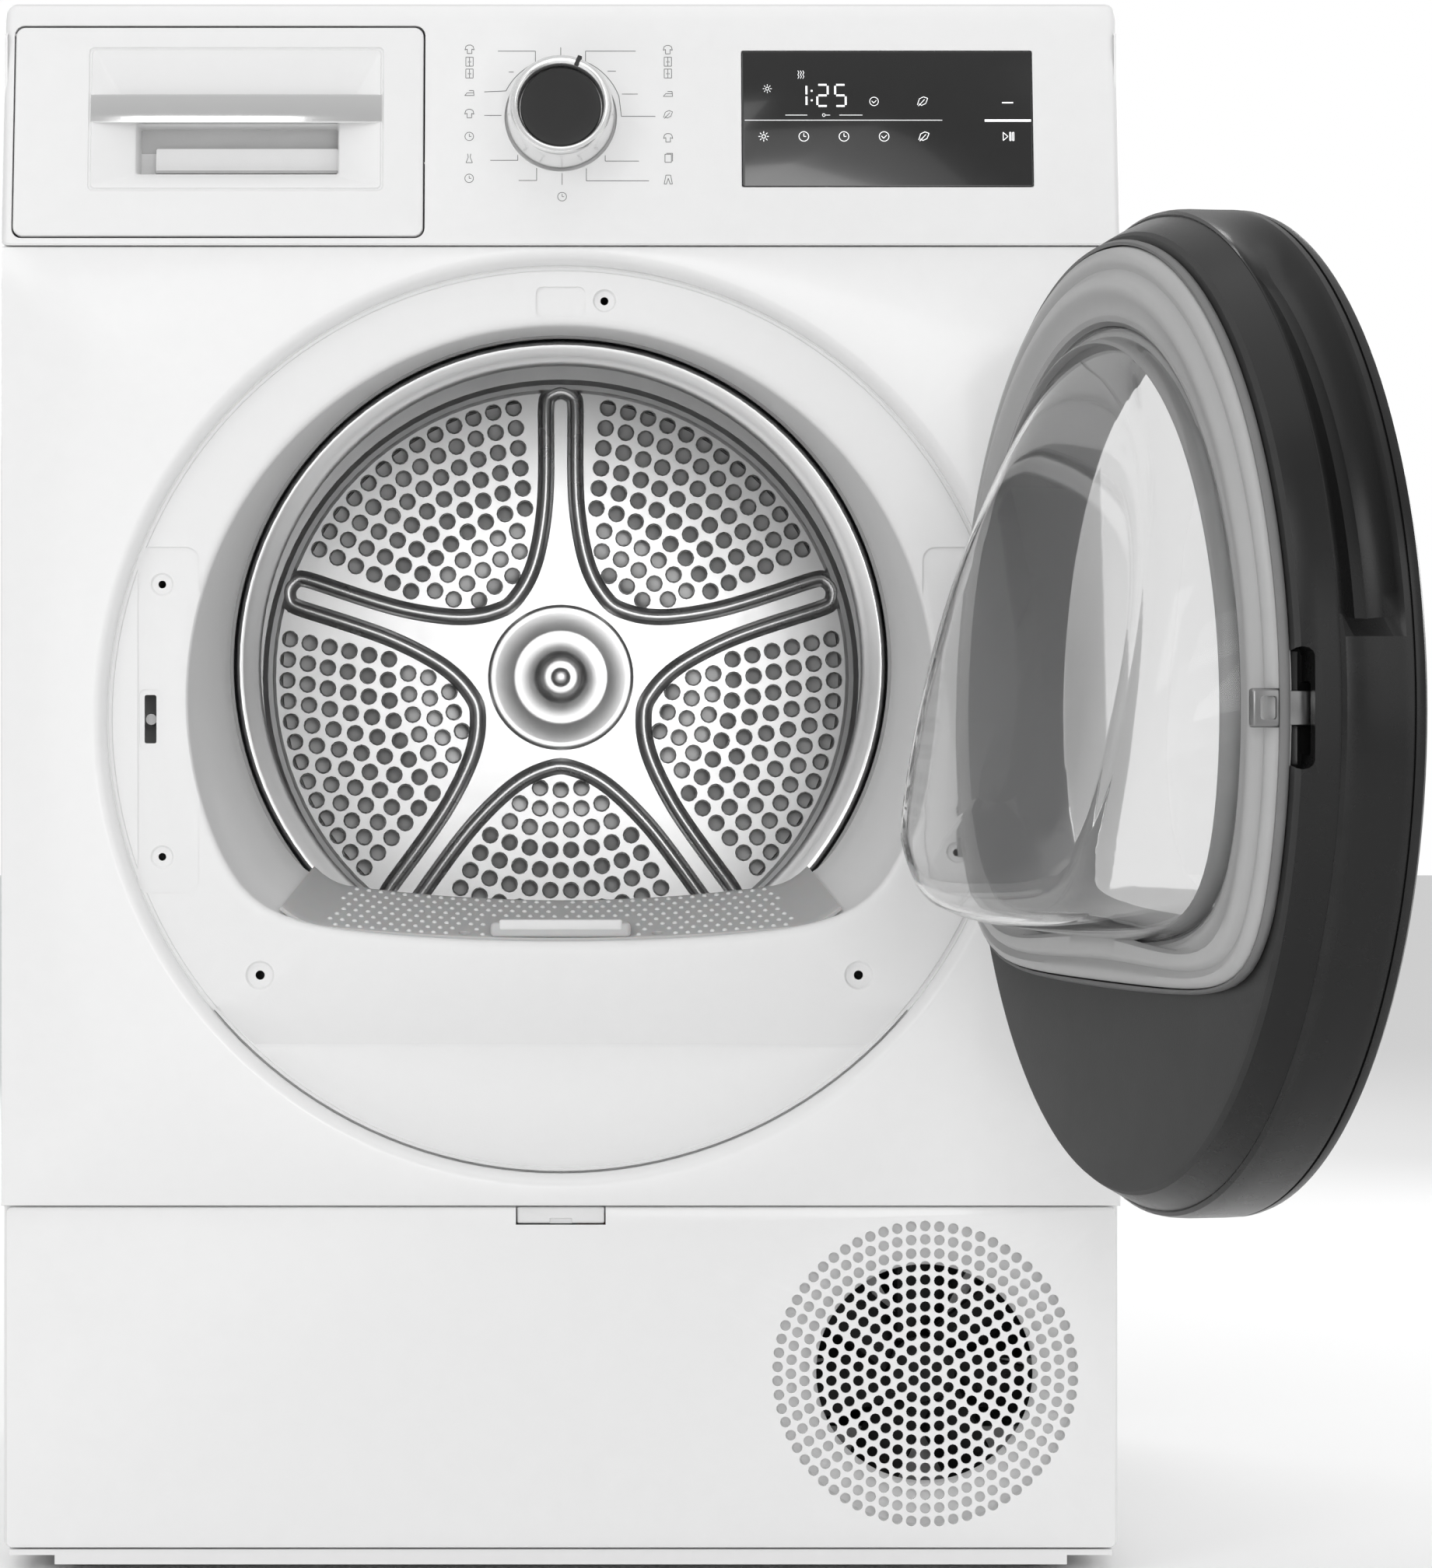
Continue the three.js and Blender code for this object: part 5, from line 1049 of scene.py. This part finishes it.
def star_line():
    """The line that the pressed rib follows: out along one side of an arm, round its tip and back."""
    w = 9.2
    half = [(w, 172), (w, 150), (w, 130), (w + 0.6, 112), (11.4, 97), (13.6, 84), (16.6, 72), (20.8,
            61.6), (26.2, 52.8), (32.9, 45.3)]
    tip = [(w * 0.75, 177.8), (0, 180.6), (-w * 0.75, 177.8)]
    points = []
    for arm in range(STAR_ARMS):
        turn = Matrix.Rotation(math.radians(-72 * arm), 2)
        run = [(-x, z) for x, z in reversed(half[:-1])] + list(reversed(tip)) + half
        points += [turn @ Vector(p) for p in run]
    return smooth_curve(points, 3)


def swept(name, line, section, y):
    """Sweeps a cross section along a closed line in an upright plane through the drum's axis."""
    loops = []
    for k, point in enumerate(line):
        along = (line[(k + 1) % len(line)] - line[k - 1]).normalized()
        side = Vector((along.y, -along.x))
        loops.append([(point.x + side.x * s, y + d, DRUM_Z + point.y + side.y * s) for s, d in section])
    return skin(name, loops, ring=True)


def drum_back():
    """The drum's rear wall: perforated sectors, the pressed star and the turned hub."""
    y = WALL_LOW[1]
    plate = turned("plate", [(WALL_HIGH[0], y + 4), (WALL_HIGH[0], y), (188, y), (184.5, y - 3.4),
            (181.5, y - 3.6), (179.6, y), (120, y), (60, y)], (0, DRUM_Z), ROUND, **SOLID)
    places = hole_places()
    holes = copies(turned("hole", [(HOLE_RADIUS, y - 3), (HOLE_RADIUS, y + 8)], (0, 0), 12, **SOLID),
                   [shift(x, 0, DRUM_Z + z) for x, z in places])
    cut(plate, [holes])
    fit(plate, "drum_plate", "drum", DRUM_STEEL, "steel", "drum_rear_wall", smooth=30)
    # The hole rims and the star rib take the darker steel: painted shade on their slopes
    rim = turned("rim", [(HOLE_RADIUS + 0.9, y + 0.1), (HOLE_RADIUS + 0.35, y - 0.55),
            (HOLE_RADIUS - 0.25, y + 0.6)], (0, 0), 12)
    rims = copies(rim, [shift(x, 0, DRUM_Z + z) for x, z in places])
    fit(rims, "drum_hole_rims", "drum", STEEL_PAINTED_SHADE, "steel", smooth=50)
    section = [(5.4, 0.4), (4.4, -1.6), (2.6, -3.4), (0.9, -4.2), (-0.9, -4.2), (-2.6, -3.4), (-4.4,
            -1.6), (-5.4, 0.4)]
    rib = swept("drum_star", star_line(), section, y)
    fit(rib, "drum_star", "drum", STEEL_PAINTED_SHADE, "steel", smooth=60)
    hub = turned("hub", [(46, y + 0.2), (45.2, y - 1.8), (43.8, y - 2.6), (42.4, y - 2.2),
            (40.6, y - 2.4), (30, y - 3.6), (28.8, y - 4.2), (27.8, y - 3.9), (17, y - 5.8), (15.6,
            y - 6.4), (14.8, y - 9), (13.4, y - 11), (8.4, y - 12.2), (6.6, y - 11.6), (5.6, y - 12), (5,
            y - 14.4), (3.6, y - 15.2), (1.2, y - 15.4)], (0, DRUM_Z), ROUND, **SOLID)
    fit(hub, "drum_hub", "drum", DRUM_STEEL, "steel", smooth=50)


def duct_baffle():
    """The galvanised wall of the air duct that shows through the drum's holes."""
    y = WALL_HIGH[1] + 10
    profile = [(56, y), (58, y - 1.2), (110, y - 1.2), (114, y), (176, y), (181, y + 8), (182.2, y + 8),
            (177, y + 1.2), (56, y + 1.2)]
    piece = turned("duct_baffle", profile, (0, DRUM_Z), FINE, ring=True)
    return fit(piece, "duct_baffle", "cabinet", ZINC, "steel", smooth=40)


# ---------------------------------------------------------------- service flap
def service_flap():
    """The lower flap with its round field of holes, folded edges and the catch."""
    low, high = FLAP_LOW, FLAP_HIGH
    piece = skin("flap",
            [framed(low[0] + inset, high[0] - inset, low[2] + inset, high[2] - inset, low[1] + y, 3,
            3) for inset, y in ((0, 13.5), (0, 1.5), (0.45, 0.45), (1.5, 0))], end=True, facing=(0, -1,
            0))
    thicken(piece, 1.8)
    catch_low, catch_high = corners("flap_latch")
    room = block("catch_room", (catch_low[0] - 0.5, low[1] - 2, catch_low[2] - 0.5), (catch_high[0] + 0.5,
            low[1] + 10, catch_high[2] + 3))
    cut(piece, [room])
    centre_x, centre_z = (FAN_LOW[0] + FAN_HIGH[0]) / 2, (FAN_LOW[2] + FAN_HIGH[2]) / 2
    spots = [(centre_x, centre_z)]
    for row in range(1, VENT_ROWS):
        for k in range(6 * row):
            t = 2 * math.pi * k / (6 * row) + (0.5 * math.pi if row % 2 else 0)
            spots.append((centre_x + VENT_PITCH * row * math.cos(t),
                    centre_z + VENT_PITCH * row * math.sin(t)))
    hole = turned("vent_hole", [(VENT_HOLE, low[1] - 2), (VENT_HOLE, low[1] + 6)], (0, 0), 12, **SOLID)
    cut(piece, [copies(hole, [shift(x, 0, z) for x, z in spots])])
    fit(piece, "flap_panel", "flap", ENAMEL, "plastic_white", "service_flap", smooth=30)
    rim = turned("shroud", [(58, low[1] + 7), (60, low[1] + 5.8), (81, low[1] + 5.8), (84, low[1] + 2.2),
            (85.6, low[1] + 2.2), (82, low[1] + 7.4), (60, low[1] + 7.4)], (centre_x, centre_z), ROUND,
            ring=True)
    fit(rim, "flap_shroud", "flap", WHITE_MOULDED, "plastic_white", smooth=40)
    catch = block("catch", (catch_low[0], low[1] + 1.95, catch_low[2]), (catch_high[0], low[1] + 8,
            catch_high[2] - 0.2), 1.1, 3)
    notch = block("notch", (-6, low[1] + 1, catch_low[2] - 1), (6, low[1] + 2.9, catch_low[2] + 3), 0.3, 1)
    cut(catch, [notch])
    fit(catch, "flap_catch_plate", "flap_catch", WHITE_MOULDED, "plastic_white", "flap_latch")


# ---------------------------------------------------------------- door
def swing_open(piece):
    """Turns a piece that was drawn with the door shut to where the open door is."""
    pin = Vector((HINGE_X, HINGE_Y, 0)) * MM
    return carry(piece, Matrix.Translation(pin) @ Matrix.Rotation(OPENED, 4, "Z") @ Matrix.Translation(-pin))


def dee(radius, bottom, power):
    """Reach of a circle that is cut off flat at the bottom with round corners."""
    def reach(t):
        s = math.sin(t)
        return soft_least(radius, bottom / s, power) if s < -0.02 else radius
    return reach


FLANGE = dee(221, -127, 9)
WINDOW = dee(181, -106, 6)
MIDDLE = (0, DOOR_Z)


def hinge_room():
    """The room that the shut door leaves for the hinge."""
    low, high = corners("hinge_bracket")
    return block("hinge_room", [v - 1 for v in low], [v + 1 for v in high])


def door_loop(reach, inward, grow=0.0, sides=FINE):
    size = reach if callable(reach) else lambda t: reach
    return outline(lambda t: size(t) + grow, HINGE_Y + inward, MIDDLE, sides)


def scoop(t):
    """How far the grip hollow goes into the rim: sharp at its lower end, easing out towards the top."""
    above = math.degrees(math.atan2(math.sin(t), -math.cos(t)))
    if above < 9.5 or above > 86:
        return 0
    return min(1, (86 - above) / 26) ** 1.5


def door_shell():
    """The black door ring: outer face, rim with its grip hollow, and charcoal inner face."""
    def rim(radius, inward, hollow=0.0):
        return door_loop(lambda t: radius - hollow * scoop(t), inward)

    def dished(share):
        return door_loop(lambda t: (WINDOW(t) + 8) * (1 - share) + 231 * share,
                -5 - 15 * math.sin(share * math.pi / 2))

    loops = [door_loop(WINDOW, -1, 2), door_loop(WINDOW, -3, 3), door_loop(WINDOW, -4.4, 5), dished(0),
            dished(0.3), dished(0.6), dished(0.85), rim(231, -20), rim(236, -19.4), rim(238.6, -17.6),
            rim(239.6, -14.6), rim(239.6, -13), rim(238.6, -12.6), rim(238.6, -12), rim(239.7, -11.6),
            rim(239.8, -9), rim(239.8, -7, 3), rim(239.8, -3, 10), rim(239.8, 3, 14), rim(239.8, 9, 13),
            rim(239.4, 15, 8), rim(238.6, 18.6, 2.6), rim(236.9, 20.4), rim(236.2, 20.2), rim(235.6,
            21.2), rim(232.4, 28), rim(228.4, 35), rim(226.6, 37.3), rim(224.2, 38)]
    loops += [door_loop(lambda t: max(FLANGE(t) + 1.4, 1) if FLANGE(t) < 219 else 222.2, 38),
            door_loop(FLANGE, 36.2, -1), door_loop(WINDOW, 36.2, 6), door_loop(WINDOW, 30, 5),
            door_loop(WINDOW, 4, 3)]
    piece = skin("door_shell", loops, ring=True)
    pocket = block("hook_pocket", (-234, HINGE_Y + 30, DOOR_Z - 26), (-214, HINGE_Y + 39, DOOR_Z + 27), 4, 3)
    cut(piece, [pocket])
    deep = block("hook_slot", (-225, HINGE_Y + 14, DOOR_Z - 20), (-215, HINGE_Y + 33, DOOR_Z + 12), 2, 2)
    cut(piece, [deep])
    mark = ((16, 241), (31, 241), (21, 224))
    tri = skin("tri", [[(x, HINGE_Y + y, DOOR_Z + z) for x, z in mark] for y in (24, 44)], **SOLID)
    cut(piece, [tri])
    cut(piece, [hinge_room()])
    piece.data.materials.clear()
    piece.data.materials.append(DOOR_BLACK)
    piece.data.materials.append(CHARCOAL)
    for face in piece.data.polygons:
        inward = face.center.y / MM - HINGE_Y
        if inward > 35.5:
            face.material_index = 1
    swing_open(piece)
    return fit(piece, "door_shell", "door", None, "plastic_black", "door_frame", smooth=28)


def door_flange():
    """The grey ring that carries the bowl, with its lips and the tunnel of the window."""
    loops = [door_loop(*row) for row in (
        (FLANGE, 37.2, 0), (FLANGE, 41, 0.6), (FLANGE, 44.5, -0.4), (FLANGE, 46.6, -3),
             (FLANGE, 47.2, -6), (FLANGE, 46.2, -8.4), (FLANGE, 45.8, -10.4), (FLANGE, 48.4, -12.6),
             (FLANGE, 50, -15), (FLANGE, 50.2, -21), (FLANGE, 48.4, -23.4),
             (WINDOW, 47.6, 10), (WINDOW, 47, 5), (WINDOW, 44, 3), (WINDOW, 42, 4.4), (WINDOW, 38, 4.6))]
    ring = skin("door_flange", loops, ring=True)
    swing_open(ring)
    fit(ring, "door_flange", "door", GREY_MOULDED, "plastic_grey", "door_inner_flange", smooth=40)
    tunnel = [door_loop(WINDOW, inward, grow) for inward, grow in ((52.6, -4.6), (53, -5.4), (52, -6),
            (28, -5), (8, -4), (1.4, -3.6), (0.9, -2.4), (0.9, 1.2), (2, 1.7), (40, 1.7), (41, 0.4), (43,
            -2.6), (51.6, -3.8))]
    liner = skin("window_tunnel", tunnel, ring=True)
    swing_open(liner)
    fit(liner, "window_tunnel", "door", TUNNEL_GREY, "plastic_grey", smooth=40)


def door_gasket():
    loops = [door_loop(*row) for row in (
        (FLANGE, 38, 1), (FLANGE, 39, 3), (FLANGE, 41.6, 3.6), (FLANGE, 43.4, 2.4), (FLANGE, 43.2, 0.9))]
    piece = skin("door_gasket", loops, ring=True)
    cut(piece, [hinge_room()])
    swing_open(piece)
    return fit(piece, "door_gasket", "door", GREY_RUBBER, "rubber", "door_seal", smooth=60)


def bowl():
    """The clear bowl: shallow at its top, deep at its lower half, with a rolled edge."""
    def depth(z, share):
        deepest = 103 - 0.22 * max(z + 60, 0)
        return 46 + (deepest - 46) * share

    def loop(scale, share, grow=0.0, sink=0.0):
        points = []
        for t in angles(FINE):
            r = (WINDOW(t) + 1.6) * scale + grow
            x, z = r * math.cos(t), r * math.sin(t) - (1 - scale) * 26
            points.append((x, HINGE_Y + depth(z, share) + sink, DOOR_Z + z))
        return points

    outer = [(1.0, 0.0), (0.985, 0.18), (0.965, 0.4), (0.945, 0.62), (0.92, 0.8), (0.885, 0.92), (0.83,
            0.985), (0.76, 1.0), (0.5, 1.0), (0.2, 1.0)]
    loops = [loop(1.0, 0, 7, -0.4), loop(1.0, 0, 6, 1.8)] + [loop(s, d) for s, d in outer]
    piece = skin("clear_bowl", loops, end=True, facing=(0, 1, 0))
    thicken(piece, 3)
    swing_open(piece)
    return fit(piece, "clear_bowl", "door", CLEAR, "clear", "door_bowl", smooth=60)


def pane():
    """The clear outer pane set in the ring."""
    loops = [door_loop(*row) for row in (
        (WINDOW, 0.6, 1.6), (WINDOW, -2, 1.6), (WINDOW, -2.8, 0.8), (WINDOW, -3, -3))]
    piece = skin("clear_pane", loops, **SOLID)
    swing_open(piece)
    return fit(piece, "clear_pane", "door", PANE, "glass_pane", "door_pane", smooth=40)


def hook():
    """The door hook: a stepped steel tongue with an eye."""
    base = block("hook", (-222.5, HINGE_Y + 20, DOOR_Z - 7), (-217.5, HINGE_Y + 44, DOOR_Z + 8), 0.8, 2)
    tongue = block("tongue", (-222.6, HINGE_Y + 41, DOOR_Z - 8), (-217.6, HINGE_Y + 55.9, DOOR_Z + 9), 1.4, 3)
    eye = block("eye", (-226, HINGE_Y + 44.5, DOOR_Z - 4.6), (-216, HINGE_Y + 52, DOOR_Z + 5.6), 1.2, 2)
    cut(tongue, [eye])
    piece = join([base, tongue])
    swing_open(piece)
    return fit(piece, "door_hook_tongue", "door", HOOK_STEEL, "steel", "door_hook")


# ---------------------------------------------------------------- what stays as it is in the frame
CARRIED = {"cord_inlet": GLOSS_BLACK, "drain_outlet": PALE_GREY, "control_board": BOARD,
        "latch_housing": PALE_GREY, "rear_air_duct": PALE_GREY, "rear_bearing": ZINC,
        "hinge_bracket": ZINC, "drive_belt": RUBBER, "drive_motor": ALUMINIUM, "evaporator": ALUMINIUM,
        "condenser": ALUMINIUM, "compressor": BLACK_STEEL, "refrigerant_pipe": COPPER,
        "condensate_pump": CHARCOAL, "air_fan_housing": CHARCOAL, "air_fan": DOOR_BLACK,
        "base_pan": WHITE_MOULDED, "cooling_fan_frame": WHITE_MOULDED, "cooling_fan": DOOR_BLACK,
        "drum_shaft": ZINC, "drum_lifter_1": PALE_GREY, "drum_lifter_2": PALE_GREY,
        "drum_lifter_3": PALE_GREY, "door_hinge_arm": ZINC, "tank_body": PALE_GREY,
        "tank_lid": WHITE_MOULDED, "filter_mesh": FELT, "latch_plunger": GREY_MOULDED,
        "motor_pulley": ZINC, "idler_pulley": CHARCOAL, "support_roller_left": RUBBER,
        "support_roller_right": RUBBER, "foot_front_left": CHARCOAL, "foot_front_right": CHARCOAL,
        "foot_rear_left": CHARCOAL, "foot_rear_right": CHARCOAL, }


def paint_carried():
    for name, material in CARRIED.items():
        piece = frame["nodes"][name]
        piece.data.materials.clear()
        piece.data.materials.append(material)


# ---------------------------------------------------------------- room, light and camera
CAMERA_PLACE = (0, -2.9395, 0.4335)
LENS, SENSOR = 113.5, 36
SHIFT_X, SHIFT_Y = 0.0990, -0.0139
ROOM_LIGHT = 0.78


def studio():
    bpy.ops.object.select_all(action="DESELECT")
    bpy.ops.mesh.primitive_plane_add(size=24, location=(0, 4, 0))
    floor = bpy.context.object
    floor.name = "studio_floor"
    material = bpy.data.materials.new("floor_white")
    material.use_nodes = True
    shader = material.node_tree.nodes["Principled BSDF"]
    shader.inputs["Base Color"].default_value = grey(0.93)
    shader.inputs["Roughness"].default_value = 0.75
    floor.data.materials.append(material)

    world = bpy.data.worlds.new("studio")
    bpy.context.scene.world = world
    world.use_nodes = True
    tree = world.node_tree
    tree.nodes.clear()
    out = tree.nodes.new("ShaderNodeOutputWorld")
    way = node(tree, "ShaderNodeTexCoord").outputs["Generated"]
    parts = node(tree, "ShaderNodeSeparateXYZ", [(0, way)])
    ramp = tree.nodes.new("ShaderNodeValToRGB")
    tree.links.new(node(tree, "ShaderNodeMapRange", [("Value", parts.outputs["Z"]), ]).outputs[0],
            ramp.inputs[0])
    ramp.color_ramp.elements[0].color = grey(0.55)
    ramp.color_ramp.elements[1].color = grey(1.0)
    soft = node(tree, "ShaderNodeBackground", [("Color", ramp.outputs[0])], Strength=ROOM_LIGHT)
    plain = node(tree, "ShaderNodeBackground", Strength=1.0)
    plain.inputs["Color"].default_value = grey(1.0)
    light = tree.nodes.new("ShaderNodeLightPath")
    seen = node(tree, "ShaderNodeMath", [(0, light.outputs["Is Camera Ray"]),
            (1, light.outputs["Is Transmission Ray"])], operation="MAXIMUM")
    mixed = tree.nodes.new("ShaderNodeMixShader")
    tree.links.new(seen.outputs[0], mixed.inputs[0])
    tree.links.new(soft.outputs[0], mixed.inputs[1])
    tree.links.new(plain.outputs[0], mixed.inputs[2])
    tree.links.new(mixed.outputs[0], out.inputs[0])

    def lamp(name, place, target, wide, tall, power):
        data = bpy.data.lights.new(name, "AREA")
        data.shape, data.size, data.size_y, data.energy = "RECTANGLE", wide, tall, power
        made = bpy.data.objects.new(name, data)
        made.location = place
        made.rotation_euler = (Vector(target) - Vector(place)).to_track_quat("-Z", "Y").to_euler()
        bpy.context.scene.collection.objects.link(made)

    lamp("front_left", (-1.9, -2.8, 2.1), (0, 0, 0.45), 1.3, 1.3, 14)
    lamp("front_right", (2.1, -2.6, 1.2), (0.1, 0, 0.35), 1.2, 1.8, 8)
    lamp("front_fill", (0, -4.4, 0.7), (0, 0, 0.5), 2.4, 2.4, 18)
    lamp("overhead", (0, -0.6, 3.0), (0, 0, 0.4), 2.6, 2.6, 12)
    lamp("through_door", (1.6, 1.6, 1.2), (0.35, -0.3, 0.45), 1.2, 1.2, 12)
    lamp("mouth", (0.3, -2.6, 0.8), (-0.15, -0.2, 0.5), 0.6, 0.6, 4)
    lamp("band_glint", (-0.46, -3.6, 1.72), (-0.174, -0.3, 0.785), 0.4, 0.7, 1.6)
    lamp("behind", (-1.2, 3.0, 1.6), (0, 0, 0.45), 2.0, 1.6, 30)

    data = bpy.data.cameras.new("viewpoint")
    data.lens, data.sensor_width = LENS, SENSOR
    data.shift_x, data.shift_y = SHIFT_X, SHIFT_Y
    camera = bpy.data.objects.new("viewpoint", data)
    camera.location = CAMERA_PLACE
    camera.rotation_euler = (math.radians(90), 0, 0)
    bpy.context.scene.collection.objects.link(camera)
    bpy.context.scene.camera = camera
    bpy.context.scene.view_settings.view_transform = "Standard"


studio()
paint_carried()
side_sheet("side_sheet_left", "side_panel_left", -1)
side_sheet("side_sheet_right", "side_panel_right", 1)
worktop_board()
front_sheet()
back_sheet()
fascia_shell()
knob()
dial_marks()
display()
drawer()
opening_frame()
filter_lid()
seal_ring()
drum()
drum_back()
duct_baffle()
service_flap()
door_shell()
door_flange()
door_gasket()
bowl()
pane()
hook()
